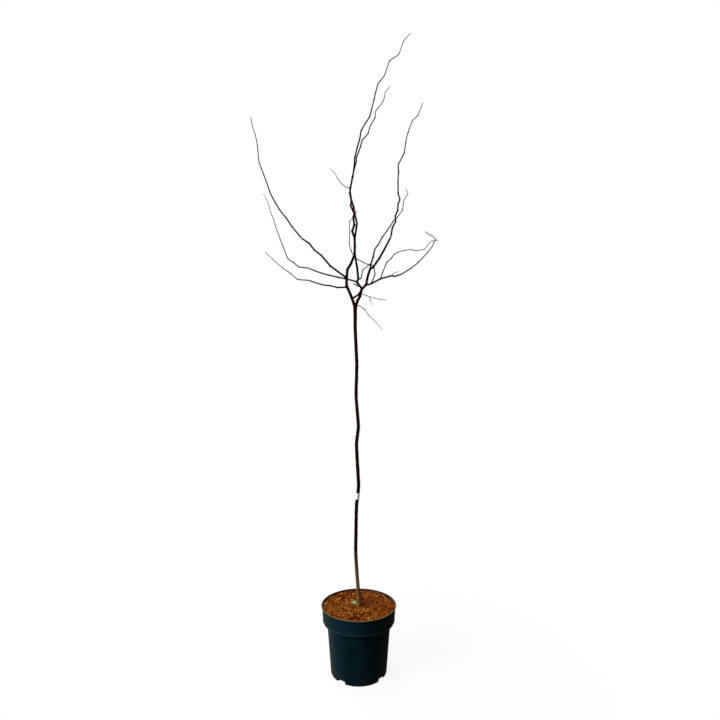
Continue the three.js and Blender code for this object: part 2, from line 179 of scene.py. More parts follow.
class Knot(NamedTuple):
    """A healed pruning cut on the trunk: its height, its bearing in degrees from +X and its radius."""

    height: float
    bearing: float
    radius: float


KNOTS = (
    Knot(388, 60, 3.2),
    Knot(452, 250, 2.8),
    Knot(540, -40, 3.4),
    Knot(628, 140, 3),
    Knot(825, 178, 4.4),
    Knot(884, 20, 3),
    Knot(1012, 95, 3.2),
    Knot(1090, -70, 3.6),
    Knot(1205, 10, 3.2),
    Knot(1300, 200, 3.4),
    Knot(1392, 120, 3),
    Knot(1462, -15, 3.8),
)

# ---- Limbs, in millimetres ----
BEND_SOFTNESS = 0.22  # 0 is a sharp bend at each node, 0.5 a smooth sweep
SWEEP_SOFTNESS = 0.42  # of the limbs that arch
NODE_SPACING = 42
ZIGZAG = 1.6
TRUNK_BARK = 0.3  # the bark stands out over the frame's solids: this much on the trunk
BARK_SHARE = 0.4  # and this share of the radius on a limb with a stout foot
BARK_MOST = 0.8
SLENDER_FOOT = 1  # at this radius of a limb's foot nothing is added to it
STOUT_FOOT = 2.5
NODE_TWIST = 25  # degrees from one node's side to the next one's
STRAIGHT = 0.5  # a node that stands out less than this is taken for straight
NEAREST_SAMPLES = 400
ARC_MARKS = 201  # points by which the length along a centreline is measured
NUDGE = 0.4  # a direction is taken between points this far to each side
TANGENT_NUDGE = 1e-4
BOUGH_SIDES = 16
BOUGH_STEP = 1.8
STEM_SIDES = 12
STEM_STEP = 2.2
DOME_RINGS = 5  # rings that round off each end of a rod
DOME_START = 0.3  # radians at which the rounding begins

# ---- Side twigs and spurs, in millimetres ----
TWIG_SEED = 11
TWIG_CHANCE = 0.34
TWIG_LENGTH = (7, 16)
TWIG_RADIUS = 0.8
TWIG_ANGLE = 52
TWIG_CURL = 12
TWIG_SCATTER = 60
TWIG_CLEARANCE = 7
CLEARANCE_STEP = 8
TWIG_SIDES = 8
TWIG_STEP = 1.4
TWIG_TAPER = 0.45  # share of its radius that it loses
TWIG_FOOT = (0.5, 2.2)  # how much its foot is swollen, and over what length
TWIG_NODE = (0.16, 0.55, 1.1)  # height, place as a share of the length, and width
SPUR_LENGTH = (3, 7)
SPUR_RADIUS = 0.75
SPUR_ANGLE = 60
SPUR_BOW = 0.06  # share of its length by which its middle is set forward


class Limb(NamedTuple):
    """A limb: its name, what carries it, its radius at the foot and the tip, and its centreline's bends
    with their softness."""

    name: str
    on: str
    foot: float
    tip: float
    bends: tuple
    softness: float = BEND_SOFTNESS


BOUGHS = (
    Limb("bough_left_leader", "trunk", 6, 3, (
        (-16, 0, 1514), (-37, 0, 1570), (-54, -4, 1611), (-53, -10, 1650), (-50, -14, 1679),
        (-35, -13, 1706), (-20, -10, 1747), (-18, -17, 1780), (-19, -14, 1820), (-29, -10, 1855),
        (-21, -16, 1880), (-24, -22, 1913), (-20, -22, 1935), (-24, -17, 1964), (-34, -14, 1997),
        (-40, -18, 2028), (-37, -20, 2055), (-21, -10, 2157),
    )),
    Limb("bough_right_fork", "trunk", 5.9, 3.2, (
        (-16, 0, 1514), (-5, 1, 1544), (5, 3, 1564), (13, 0, 1594), (32, -6, 1614), (36, 0, 1637),
        (42, 0, 1661), (50, -6, 1683), (64, -14, 1691), (110, -44, 1758), (139, -60, 1811),
    )),
    Limb("bough_right_leader", "bough_right_fork", 4.6, 2.8, (
        (13, 0, 1596), (-7, 9, 1627), (-3, 16, 1648), (-17, 10, 1750), (-18, 21, 1833), (-9, 12, 1901),
        (-17, 18, 1938), (-37, 22, 1985), (-34, 14, 2010), (-40, 20, 2052), (-30, 12, 2117),
        (-17, 22, 2176),
    )),
    Limb("bough_cross", "bough_left_leader", 3.8, 3.4, ((-28, 0, 1553), (-4, -3, 1568), (11, 0, 1590))),
    Limb("bough_left_high", "bough_left_leader", 3.7, 2.7, (
        (-55, -10, 1642), (-90, -43, 1661), (-123, -60, 1682), (-136, -70, 1695), (-160, -84, 1720),
        (-189, -97, 1740), (-209, -104, 1765), (-242, -112, 1786),
    )),
    Limb("bough_left_mid", "bough_right_leader", 3, 2.4, (
        (-7, 12, 1630), (-95, 54, 1663), (-176, 94, 1694), (-246, 150, 1735),
    )),
    Limb("bough_left_low", "bough_left_leader", 2.8, 2.1, (
        (-54, -4, 1602), (-91, -18, 1598), (-154, -50, 1601), (-215, -66, 1617),
    ), SWEEP_SOFTNESS),
    Limb("bough_right_low", "bough_right_fork", 3.7, 2.4, (
        (32, -5, 1610), (54, -24, 1613), (94, -45, 1629), (138, -85, 1631), (151, -100, 1625),
        (175, -128, 1625),
    )),
    Limb("bough_right_inner", "bough_right_fork", 3.2, 2.6, (
        (50, -7, 1683), (53, 4, 1707), (71, 16, 1781),
    )),
)

MASSES = (
    Limb("twigs_top", "bough_left_leader", 2.9, 1.1, (
        (-21, -10, 2157), (-19, -14, 2191), (-7, -20, 2239), (11, -30, 2312), (48, -22, 2382),
        (86, -45, 2524), (116, -38, 2570), (137, -52, 2626), (180, -47, 2665), (201, -61, 2715),
        (233, -58, 2758),
    )),
    Limb("twigs_top_second", "bough_right_leader", 2.7, 1.1, (
        (-17, 22, 2176), (-12, 30, 2200), (-11, 36, 2222), (7, 46, 2280), (16, 52, 2317), (43, 80, 2365),
        (53, 86, 2405), (76, 95, 2453), (82, 111, 2500), (116, 121, 2552), (130, 142, 2616),
        (155, 150, 2656),
    )),
    Limb("twigs_leader_side", "bough_left_leader", 1.6, 0.9, (
        (-39, -19, 2047), (-57, -24, 2052), (-74, -36, 2059), (-94, -54, 2078), (-102, -68, 2089),
        (-124, -80, 2108),
    )),
    Limb("twigs_right_high", "bough_right_fork", 3.1, 1.1, (
        (139, -60, 1811), (145, -72, 1847), (158, -80, 1871), (157, -84, 1894), (166, -88, 1916),
        (169, -90, 1945), (176, -88, 1966), (169, -94, 1990), (167, -112, 2040), (169, -114, 2108),
        (191, -138, 2145), (206, -146, 2227), (224, -167, 2269), (246, -172, 2291), (266, -190, 2335),
    )),
    Limb("twigs_right_inner", "bough_right_inner", 2.5, 1.2, (
        (71, 16, 1781), (121, 60, 1871), (164, 104, 1950), (180, 116, 1968), (212, 168, 2029),
        (220, 174, 2078), (242, 198, 2125), (232, 204, 2152),
    )),
    Limb("twigs_right_low", "bough_right_low", 2.2, 1, (
        (175, -128, 1625), (235, -202, 1651), (265, -246, 1676), (285, -268, 1698), (287, -278, 1708),
        (294, -284, 1717), (281, -292, 1729), (269, -284, 1738), (254, -278, 1752),
    ), SWEEP_SOFTNESS),
    Limb("twigs_low_spur", "bough_right_low", 1.3, 0.9, (
        (138, -85, 1631), (149, -82, 1643), (170, -84, 1652),
    )),
    Limb("twigs_right_arching", "bough_right_low", 2.1, 1.1, (
        (94, -45, 1629), (104, -24, 1663), (125, 2, 1716), (162, 28, 1763), (191, 60, 1786),
        (241, 100, 1807), (284, 148, 1820), (316, 168, 1834), (340, 190, 1866), (359, 202, 1886),
        (394, 222, 1896),
    ), SWEEP_SOFTNESS),
    Limb("twigs_centre", "bough_right_low", 2.1, 1.1, (
        (53, -24, 1614), (70, -34, 1650), (64, -46, 1683), (49, -44, 1694), (41, -50, 1690),
        (-12, -54, 1716), (-32, -68, 1742), (-41, -66, 1777), (-40, -97, 1864), (-23, -103, 1879),
        (-7, -112, 1905),
    )),
    Limb("twigs_inner", "bough_right_leader", 2.2, 1.5, (
        (-4, 15, 1642), (9, 24, 1650), (19, 44, 1695), (53, 80, 1732),
    )),
    Limb("twigs_left_high", "bough_left_high", 2.6, 1, (
        (-242, -112, 1786), (-277, -136, 1825), (-324, -175, 1882), (-360, -186, 1945),
        (-399, -228, 2055), (-409, -225, 2131), (-432, -250, 2234),
    )),
    Limb("twigs_left_mid", "bough_left_mid", 2.3, 1, (
        (-246, 150, 1735), (-289, 165, 1744), (-349, 213, 1799), (-391, 226, 1900), (-471, 260, 2124),
        (-492, 280, 2161),
    )),
    Limb("twigs_left_low", "bough_left_low", 2, 1, (
        (-215, -66, 1617), (-258, -88, 1615), (-321, -106, 1660), (-388, -140, 1716),
    )),
    Limb("twigs_fork_right", "bough_right_fork", 1.5, 1, (
        (9, 3, 1575), (31, -20, 1562), (64, -49, 1544), (116, -118, 1520),
    )),
    Limb("twigs_fork_under", "twigs_fork_right", 1.2, 0.9, (
        (44, -32, 1555), (50, -46, 1538), (54, -60, 1509),
    )),
    Limb("twigs_fork_low", "bough_right_fork", 1.5, 1, (
        (-13, 1, 1522), (3, 10, 1521), (21, 27, 1513), (64, 58, 1470), (107, 100, 1430),
    ), SWEEP_SOFTNESS),
    Limb("twigs_stub", "bough_right_leader", 2.6, 2, ((3, 5, 1611), (-5, 20, 1614), (-24, 42, 1631))),
)


# ---- What a user may change ----
COLOUR = {"subtype": "COLOR", "size": 3, "min": 0, "max": 1}
LENGTH = {"unit": "LENGTH", "subtype": "DISTANCE", "precision": 5}
SHARE = {"subtype": "FACTOR", "min": 0, "max": 1}


class PotSettings(bpy.types.PropertyGroup):
    """The pot's facets and the look of its plastic."""

    sides: IntProperty(name="Sides", description="Facets round the pot", default=128, min=32, max=256)
    plastic: FloatVectorProperty(
        name="Plastic", description="Colour of the pot", default=(0.0017, 0.0135, 0.0235), **COLOUR
    )
    dust: FloatVectorProperty(
        name="Dust", description="Colour of the dust on the rim", default=(0.3, 0.17, 0.075), **COLOUR
    )


class MulchSettings(bpy.types.PropertyGroup):
    """How much bark lies on the compost."""

    chips: IntProperty(name="Chips", description="Pieces of bark", default=5600, min=0, max=9000)
    crumbs: IntProperty(name="Crumbs", description="Fine crumbs of bark", default=3600, min=0, max=9000)
    chip_length: FloatProperty(
        name="Chip length", description="Usual length of a chip", default=9 * MM, min=0.002, max=0.05,
        **LENGTH,
    )
    seed: IntProperty(name="Seed", description="Start of the random draws", default=7, min=0)


class BarkSettings(bpy.types.PropertyGroup):
    """The relief and the colours of the bark."""

    relief: FloatProperty(
        name="Relief", description="Depth of the bark's ridges on the trunk", default=0.32 * MM, min=0,
        max=0.003, **LENGTH,
    )
    dark: FloatVectorProperty(
        name="Dark bark", description="Colour in the furrows", default=(0.0042, 0.0006, 0.0002), **COLOUR
    )
    warm: FloatVectorProperty(
        name="Warm bark", description="Colour on the ridges", default=(0.023, 0.0042, 0.0009), **COLOUR
    )
    olive: FloatVectorProperty(
        name="Foot", description="Colour of the old bark at the foot", default=(0.2, 0.122, 0.046), **COLOUR
    )


class TwigSettings(bpy.types.PropertyGroup):
    """Buds and fine spurs."""

    bud_length: FloatProperty(
        name="Bud length", description="Length of a leaf bud", default=4.2 * MM, min=0.001, max=0.02,
        **LENGTH,
    )
    spur_chance: FloatProperty(
        name="Spurs", description="Share of the free nodes with a spur", default=0.3, **SHARE
    )
    cluster_chance: FloatProperty(
        name="Flower buds", description="Share of the old nodes with a cluster of flower buds",
        default=0.55, **SHARE,
    )
    seed: IntProperty(name="Seed", description="Start of the random draws", default=23, min=0)


class StageSettings(bpy.types.PropertyGroup):
    """The floor and the light."""

    floor: FloatVectorProperty(
        name="Floor", description="Colour of the floor", default=(0.9, 0.9, 0.9), **COLOUR
    )
    key_power: FloatProperty(
        name="Key", description="Power of the main light", default=106, min=0, max=2000, unit="POWER",
    )
    camera_distance: FloatProperty(
        name="Camera distance", description="From the camera to the tree's axis", default=1.98, min=0.5,
        max=20, **LENGTH,
    )


# ---- Modelling ----
def pick(piece):
    """Selects one piece and nothing else, and makes it the active one."""
    bpy.ops.object.select_all(action="DESELECT")
    piece.select_set(True)
    bpy.context.view_layer.objects.active = piece


def fresh(add, **size):
    """Adds a primitive with nothing else selected, and puts its place into its mesh."""
    bpy.ops.object.select_all(action="DESELECT")
    add(**size)
    bpy.ops.object.transform_apply(location=True, rotation=True, scale=True)
    return bpy.context.object


@contextmanager
def editing(piece, kind="VERT"):
    """Edit mode on one piece. By corners all of it is selected, and by edges those that were picked."""
    pick(piece)
    bpy.context.tool_settings.mesh_select_mode = (kind == "VERT", kind == "EDGE", False)
    bpy.ops.object.mode_set(mode="EDIT")
    if kind == "VERT":
        bpy.ops.mesh.select_all(action="SELECT")
    yield
    bpy.ops.object.mode_set(mode="OBJECT")


def pick_edges(piece, wanted):
    """Selects the edges whose two ends pass a test, and nothing else."""
    mesh = piece.data
    for part in (mesh.vertices, mesh.edges, mesh.polygons):
        part.foreach_set("select", np.zeros(len(part), bool))
    for edge in mesh.edges:
        edge.select = wanted(*(mesh.vertices[corner].co for corner in edge.vertices))


def apply_modifier(piece, kind, **settings):
    """Puts a modifier on a piece and applies it."""
    pick(piece)
    bpy.ops.object.modifier_add(type=kind)
    modifier = piece.modifiers[-1]
    for setting, value in settings.items():
        setattr(modifier, setting, value)
    bpy.ops.object.modifier_apply(modifier=modifier.name)


def ring_up(profile, sides):
    """A closed body of revolution: a circle that is extruded and resized ring by ring, in millimetres."""
    (radius, height), *rest = profile
    place = (0, 0, height * MM)
    piece = fresh(bpy.ops.mesh.primitive_circle_add, vertices=sides, radius=radius * MM, location=place)
    with editing(piece):
        for next_radius, next_height in rest:
            ratio = next_radius / radius
            bpy.ops.mesh.extrude_edges_move()
            bpy.ops.transform.translate(value=(0, 0, (next_height - height) * MM))
            bpy.ops.transform.resize(value=(ratio, ratio, 1), center_override=(0, 0, 0))
            radius, height = next_radius, next_height
        bpy.ops.mesh.select_all(action="SELECT")
        bpy.ops.mesh.fill_holes(sides=0)
        bpy.ops.mesh.normals_make_consistent(inside=False)
    return piece


def corners_of(piece):
    """A piece's corners in millimetres, one row each."""
    corners = np.empty(len(piece.data.vertices) * 3)
    piece.data.vertices.foreach_get("co", corners)
    return corners.reshape(-1, 3) / MM


def set_corners(piece, corners):
    """Moves a piece's corners to places in millimetres."""
    piece.data.vertices.foreach_set("co", (corners * MM).ravel())
    piece.data.update()


class Shape(NamedTuple):
    """Corners in millimetres, faces as rows of corner numbers, and each corner's place in the grain."""

    corners: np.ndarray
    faces: list
    grain: np.ndarray


def is_held(shape):
    """Whether a shape keeps within the frame's box."""
    low, high = CAD_BOX
    return (shape.corners * MM >= low).all() and (shape.corners * MM <= high).all()


def lift_off(piece):
    """A piece modelled at size 1 as a Shape of that size. The piece itself is removed."""
    corners = corners_of(piece) * MM
    faces = [tuple(face.vertices) for face in piece.data.polygons]
    bpy.data.meshes.remove(piece.data)
    return Shape(corners, faces, corners)


def piece_of(shapes):
    """Joins shapes into one new piece, with their grain as an attribute."""
    faces = []
    start = 0
    for shape in shapes:
        faces += [tuple(corner + start for corner in face) for face in shape.faces]
        start += len(shape.corners)
    mesh = bpy.data.meshes.new("piece")
    corners = np.vstack([shape.corners for shape in shapes]) * MM
    mesh.from_pydata(np.clip(corners, *CAD_BOX), [], faces)
    grain = mesh.attributes.new("grain", "FLOAT_VECTOR", "POINT")
    grain.data.foreach_set("vector", (np.vstack([shape.grain for shape in shapes]) * MM).ravel())
    piece = bpy.data.objects.new("piece", mesh)
    bpy.context.collection.objects.link(piece)
    return piece


def dress(piece, name, finish, slot, *nodes, crease=180):
    """Finishes a piece: its name, its shading, its material, its body and the nodes that it stands for."""
    piece.name = name
    piece.data.name = name
    piece.data.materials.clear()
    piece.data.materials.append(finish.material)
    pick(piece)
    if crease:
        bpy.ops.object.shade_smooth_by_angle(angle=math.radians(crease))
    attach(piece, BODY)
    if nodes:
        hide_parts(*nodes)


def unit(vectors):
    """Vectors at length 1."""
    return vectors / np.linalg.norm(vectors, axis=-1, keepdims=True)


def between(ends, share):
    """The value at a share of the way from one end to the other."""
    first, last = ends
    return first + (last - first) * share


def bearing_vector(bearing):
    """The level unit vector at a bearing in degrees from +X."""
    turn = math.radians(bearing)
    return np.array([math.cos(turn), math.sin(turn), 0])


def hump(offset, width):
    """1 at no offset, and falling smoothly away to both sides."""
    return np.exp(-((offset / width) ** 2))


def seeded_stream(seed):
    """A seeded stream of numbers from 0 up to 1."""
    word = 0xFFFFFFFF
    state = seed
    while True:
        state = (state + 0x6D2B79F5) & word
        mixed = ((state ^ (state >> 15)) * (1 | state)) & word
        mixed = (mixed + (((mixed ^ (mixed >> 7)) * (61 | mixed)) & word) & word) ^ mixed
        yield ((mixed ^ (mixed >> 14)) & word) / 2**32


ROUGH_NOISE = (0.7, 2.1, 4)  # how fast finer waves fade, how much finer each is, and how many there are
LEVEL_NOISE = (0.8, 2, 3)


def roughness_at(places, spacing):
    """Smooth noise from about -1 to 1 at places, whose waves have the spacing along X, Y and Z."""
    spacing = Vector(spacing)
    return np.array([
        noise.fractal(Vector((x / spacing.x, y / spacing.y, z / spacing.z)), *ROUGH_NOISE)
        for x, y, z in places
    ])


def patchiness(x, y, spacing, layer):
    """Smooth noise round 0 over a level surface, in one of its layers."""
    return noise.fractal(Vector((x / spacing, y / spacing, layer)), *LEVEL_NOISE)


# ---- Centrelines ----
def leaning(direction, side, angle):
    """A direction turned towards a side that is square to it, by so many degrees."""
    turn = math.radians(angle)
    return direction * math.cos(turn) + side * math.sin(turn)


def sideways(direction, turn):
    """A unit vector square to a direction: level and across the X-Z plane, turned by so many degrees."""
    level = unit(np.cross((0, 1, 0), direction))
    return leaning(level, np.cross(direction, level), turn)


class Centreline:
    """A smooth line through nodes, measured along its length."""

    def __init__(self, nodes, softness=BEND_SOFTNESS):
        self.nodes = np.array(nodes, float)
        self.softness = softness
        first = 2 * self.nodes[0] - self.nodes[1]
        last = 2 * self.nodes[-1] - self.nodes[-2]
        self._reach = np.vstack([first, self.nodes, last])
        self._marks = np.linspace(0, 1, ARC_MARKS)
        steps = np.linalg.norm(np.diff(self.at(self._marks), axis=0), axis=1)
        self._lengths = np.concatenate([[0], np.cumsum(steps)])
        self.length = self._lengths[-1]

    def at(self, share):
        """Places at shares of the way, in which every stretch between two nodes counts the same."""
        spans = len(self.nodes) - 1
        way = np.clip(np.asarray(share, float), 0, 1) * spans
        span = np.minimum(way.astype(int), spans - 1)
        w = (way - span)[..., None]
        before, start, end, after = (self._reach[span + k] for k in range(4))
        leave = self.softness * (end - before)
        arrive = self.softness * (after - start)
        square = 3 * (end - start) - 2 * leave - arrive
        cube = 2 * (start - end) + leave + arrive
        return start + w * (leave + w * (square + w * cube))

    def along(self, distance):
        """Places at distances from the foot."""
        return self.at(np.interp(distance, self._lengths, self._marks))

    def spaced(self, parts):
        """Evenly spaced places from the foot to the tip."""
        return self.along(np.linspace(0, self.length, parts + 1))

    def direction(self, share):
        """The unit direction at a share of the way."""
        return unit(self.at(share + TANGENT_NUDGE) - self.at(share - TANGENT_NUDGE))

    def node_distances(self):
        """How far from the foot each node lies."""
        return np.interp(np.linspace(0, 1, len(self.nodes)), self._marks, self._lengths)

    def nearest_distance(self, place):
        """How far from the foot the line passes nearest to a place."""
        away = np.linalg.norm(self.spaced(NEAREST_SAMPLES) - place, axis=1)
        return self.length * np.argmin(away) / NEAREST_SAMPLES

    def nearest(self, place):
        """The place on the line that lies nearest to another."""
        return self.along(self.nearest_distance(place))


def with_nodes(bends):
    """The bends with a node about every NODE_SPACING between them, set to one side and the other."""
    nodes = [bends[0]]
    count = 0
    for start, bend in zip(bends, bends[1:]):
        span = np.linalg.norm(bend - start)
        parts = max(1, math.floor(span / NODE_SPACING + 0.5))
        for part in range(1, parts):
            count += 1
            shift = ZIGZAG if count % 2 else -ZIGZAG
            side = sideways((bend - start) / span, NODE_TWIST * count)
            nodes.append(start + (bend - start) * part / parts + side * shift)
        nodes.append(bend)
    return nodes


def grow_lines():
    """The centreline of every limb, each with its foot on the limb that carries it."""
    lines = {"trunk": Centreline(TRUNK_BENDS)}
    for limb in BOUGHS + MASSES:
        foot, *rest = np.array(limb.bends, float)
        bends = [lines[limb.on].nearest(foot), *rest]
        lines[limb.name] = Centreline(with_nodes(bends), limb.softness)
    return lines


LINES = grow_lines()
LIMBS = {limb.name: limb for limb in BOUGHS + MASSES}


def plain_radius(name, distance):
    """A limb's radius at distances from its foot, before its nodes and its bark."""
    length = LINES[name].length
    if name == "trunk":
        flare = (FLARE_RADIUS - TRUNK_RADIUS) * np.exp(-distance / FLARE_HEIGHT)
        swell = FORK_SWELL * np.exp((distance - length) / FORK_FADE)
        return TRUNK_RADIUS + TRUNK_BARK + flare + swell
    limb = LIMBS[name]
    radius = limb.foot + (limb.tip - limb.foot) * np.clip(distance / length, 0, 1)
    stoutness = np.clip((limb.foot - SLENDER_FOOT) / (STOUT_FOOT - SLENDER_FOOT), 0, 1)
    return radius + np.minimum(BARK_SHARE * stoutness * radius, BARK_MOST)


def carries_on(name):
    """Whether a limb starts at the tip of the limb that carries it."""
    return np.linalg.norm(LINES[name].nodes[0] - LINES[LIMBS[name].on].nodes[-1]) < 1


# ---- Rods ----
@functools.cache
def unit_rod(sides, least_rings):
    """A straight rod of radius and length 1: a cylinder whose upright edges are cut, twice over."""
    blocks = math.ceil(math.sqrt(least_rings))
    per_block = math.ceil(least_rings / blocks)
    rod = fresh(
        bpy.ops.mesh.primitive_cylinder_add, vertices=sides, radius=1, depth=1, location=(0, 0, 0.5)
    )
    for parts in (blocks, per_block):
        if parts > 1:
            pick_edges(rod, lambda a, b: abs(a.z - b.z) > abs(a.x - b.x) + abs(a.y - b.y))
            with editing(rod, "EDGE"):
                bpy.ops.mesh.subdivide(number_cuts=parts - 1)
    corners, faces, _ = lift_off(rod)
    turns = np.arctan2(corners[:, 1], corners[:, 0])
    rings = np.rint(corners[:, 2] * blocks * per_block).astype(int)
    return turns, rings, faces


def ring_distances(length, step, foot_radius, tip_radius):
    """Where a rod's rings lie: evenly, and closer where they round off the two ends."""
    rounding = 1 - np.cos(np.linspace(DOME_START, math.pi / 2, DOME_RINGS))
    foot = foot_radius * rounding
    tip = length - tip_radius * rounding[::-1]
    middle = np.linspace(foot[-1], tip[0], max(3, round((tip[0] - foot[-1]) / step)))
    return np.concatenate([foot, middle[1:-1], tip])


def frames_along(line, distances):
    """Centres and two square sides at distances along a line, with no twist from ring to ring."""
    centres = line.along(distances)
    directions = unit(line.along(distances + NUDGE) - line.along(distances - NUDGE))
    side = sideways(directions[0], 0)
    sides = []
    for direction in directions:
        side = unit(side - np.dot(side, direction) * direction)
        sides.append(side)
    return centres, np.array(sides), np.cross(directions, sides)


def bent_rod(line, radius_at, sides, step, relief_at=None, foot_round=math.inf, tip_round=math.inf):
    """A rod along a line, with rounded ends. relief_at gives what is added to the radius, from places
    in the grain, distances, radial directions and centres."""
    length = line.length
    foot_radius = min(radius_at(0.0), length / 4, foot_round)
    tip_radius = min(radius_at(length), length / 4, tip_round)
    wanted = ring_distances(length, step, foot_radius, tip_radius)
    turns, rings, faces = unit_rod(sides, len(wanted) - 1)
    count = rings.max() + 1
    distances = np.interp(np.linspace(0, 1, count), np.linspace(0, 1, len(wanted)), wanted)
    centres, across, over = frames_along(line, distances)
    radii = radius_at(distances)
    for end_distance, end_radius in ((distances, foot_radius), (length - distances, tip_radius)):
        inset = np.clip(1 - end_distance / end_radius, 0, 1)
        radii = radii * np.sqrt(1 - inset**2)
    outwards = np.cos(turns)[:, None] * across[rings] + np.sin(turns)[:, None] * over[rings]
    flat = radius_at(distances)[rings]
    grain = np.stack([np.cos(turns) * flat, np.sin(turns) * flat, distances[rings]], axis=1)
    corner_radii = radii[rings]
    if relief_at:
        corner_radii = corner_radii + relief_at(grain, distances[rings], outwards, centres[rings])
    return Shape(centres[rings] + outwards * corner_radii[:, None], faces, grain)


# ---- Growth: nodes, side twigs and spurs ----
class Site(NamedTuple):
    """A node of a limb: its number, where it lies, how far from the foot, and the limb's direction, the
    outer side and the radius there."""

    node: int
    place: np.ndarray
    distance: float
    along: np.ndarray
    out: np.ndarray
    radius: float


def sites_of(name):
    """The inner nodes of a limb. A node's outer side is the one that the limb bends round."""
    line = LINES[name]
    spans = len(line.nodes) - 1
    distances = line.node_distances()
    sites = []
    for node in range(1, spans):
        along = line.direction(node / spans)
        out = line.nodes[node] - (line.nodes[node - 1] + line.nodes[node + 1]) / 2
        out = out - np.dot(out, along) * along
        if np.linalg.norm(out) < STRAIGHT:
            out = sideways(along, NODE_TWIST * node) * (1 if node % 2 else -1)
        distance = distances[node]
        radius = float(plain_radius(name, distance))
        sites.append(Site(node, line.nodes[node], distance, along, unit(out), radius))
    return sites


class Twig(NamedTuple):
    """A side twig or a spur: its centreline and its radius at the foot."""

    line: Centreline
    radius: float


@functools.cache
def room_for_twigs():
    """A test of whether a place is in a mass's own space: inside the crown, nearer to the mass's stem
    than to any other limb, and clear of them."""
    samples = {
        name: line.spaced(math.ceil(line.length / CLEARANCE_STEP)) for name, line in LINES.items()
    }
    bends = np.array([bend for limb in MASSES for bend in limb.bends], float)
    low = bends.min(axis=0)
    high = bends.max(axis=0)

    def is_free(place, name):
        gaps = {
            other: np.linalg.norm(points - place, axis=1).min() for other, points in samples.items()
        }
        own = gaps.pop(name)
        inside = (place >= low).all() and (place <= high).all()
        return inside and min(gaps.values()) > max(own, TWIG_CLEARANCE)

    return is_free


def grow_twigs():
    """The side twigs of each mass, by the same rule and the same draws as the frame's solids."""
    is_free = room_for_twigs()
    stream = seeded_stream(TWIG_SEED)
    twigs = {}
    for limb in MASSES:
        line = LINES[limb.name]
        spans = len(line.nodes) - 1
        twigs[limb.name] = {}
        for node in range(1, spans):
            draw, size, turn = (next(stream) for _ in range(3))
            if draw > TWIG_CHANCE:
                continue
            foot = line.nodes[node]
            along = line.direction(node / spans)
            side = sideways(along, NODE_TWIST * node + TWIG_SCATTER * (turn - 0.5))
            side = side * (1 if node % 2 else -1)
            length = between(TWIG_LENGTH, size)
            bends = [foot]
            for share, angle in ((0.5, TWIG_ANGLE), (1, TWIG_ANGLE - TWIG_CURL)):
                bends.append(foot + length * share * leaning(along, side, angle))
            if all(is_free(bend, limb.name) for bend in bends[1:]):
                twigs[limb.name][node] = Twig(Centreline(bends), TWIG_RADIUS)
    return twigs


@functools.cache
def grow(spur_chance, seed):
    """The side twigs of each mass, and short spurs at nodes that carry none."""
    twigs = grow_twigs()
    is_free = room_for_twigs()
    stream = seeded_stream(seed)
    spurs = {}
    for limb in MASSES:
        spurs[limb.name] = {}
        for site in sites_of(limb.name):
            draw, size = (next(stream) for _ in range(2))
            if draw > spur_chance or site.node in twigs[limb.name]:
                continue
            length = site.radius + between(SPUR_LENGTH, size)
            tip = site.place + length * leaning(site.along, site.out, SPUR_ANGLE)
            if is_free(tip, limb.name):
                middle = (site.place + tip) / 2 + SPUR_BOW * length * site.along
                spurs[limb.name][site.node] = Twig(Centreline([site.place, middle, tip]), SPUR_RADIUS)
    return {name: {**twigs[name], **spurs[name]} for name in twigs}


# ---- Bark ----
NODE_SWELL = 0.65  # a node stands out this much on its outer side
NODE_BACK = 0.4  # and by this share of it all round
NODE_WIDTH = (1.2, 0.45)  # half a node's width: in millimetres, and the share of the radius added to it
TWIG_SWELL = 0.8 * NODE_SWELL
TWIG_RELIEF = 0.5  # share of the boughs' relief
BOUGH_GRAIN = ((1.6, 9, 0.65), (6, 26, 0.8))  # width, length and share of the ridges, then of the waves
TRUNK_GRAIN = ((1.7, 11, 0.6), (7, 34, 0.9))
WAVE_SHIFT = 40  # so that the waves don't follow the ridges
SCAR_RING = (3, 1.6, 0.35)  # place, width and height of the ring where a season's growth began
OLD_NODES = (40, 20, 47)  # on the trunk: the first one's distance, the room after the last, their spacing
OLD_NODE_WIDTH = 3.4
OLD_NODE_SWELL = (0.18, 0.6)  # all round, and on its outer side
OLD_NODE_TURN = 137.5
KNOT_SWELL = 0.42  # shares of a knot's radius
KNOT_HOLLOW = 0.2
KNOT_HOLLOW_WIDTH = 0.45
COLLAR_GROWTH = 0.55  # a limb's foot is wider by this share of its radius
COLLAR_FADE = 1.3  # the collar dies away over this many radii
FORK_COLLAR_GROWTH = 0.12  # the same for the boughs that leave the swollen top of the trunk
LOBE_WAVES = ((3, 0.6, 1), (2, 2, 0.5))  # buttresses of the root flare: number, turn and share
LOBE_HEIGHT = 1.5
LOBE_FADE = 11
COLLAR_FIT = 0.85  # a collar gets no wider than this share of what carries it
CUT_ROUND = 1.2  # rounding of the flat cut at the trunk's foot
FORK_ROUND = 6  # rounding of the trunk's top between the boughs
BURIED_ROUND = 2  # rounding of a bough's end inside the trunk


def limb_radius(name):
    """The radius of a limb with the collar at its foot, as a function of distance."""
    if name == "trunk":
        return lambda distance: plain_radius(name, distance)
    limb = LIMBS[name]
    if carries_on(name):
        place, width, height = SCAR_RING
        return lambda distance: plain_radius(name, distance) + height * hump(distance - place, width)
    growth = FORK_COLLAR_GROWTH if limb.on == "trunk" else COLLAR_GROWTH
    carrier = LINES[limb.on]
    buried = float(plain_radius(limb.on, carrier.nearest_distance(LINES[name].nodes[0])))
    room = max(0, COLLAR_FIT * buried - float(plain_radius(name, 0)))
    growth = min(growth * limb.foot, room)
    return lambda distance: plain_radius(name, distance) + growth * np.exp(
        -np.maximum(distance - buried, 0) / (COLLAR_FADE * limb.foot)
    )


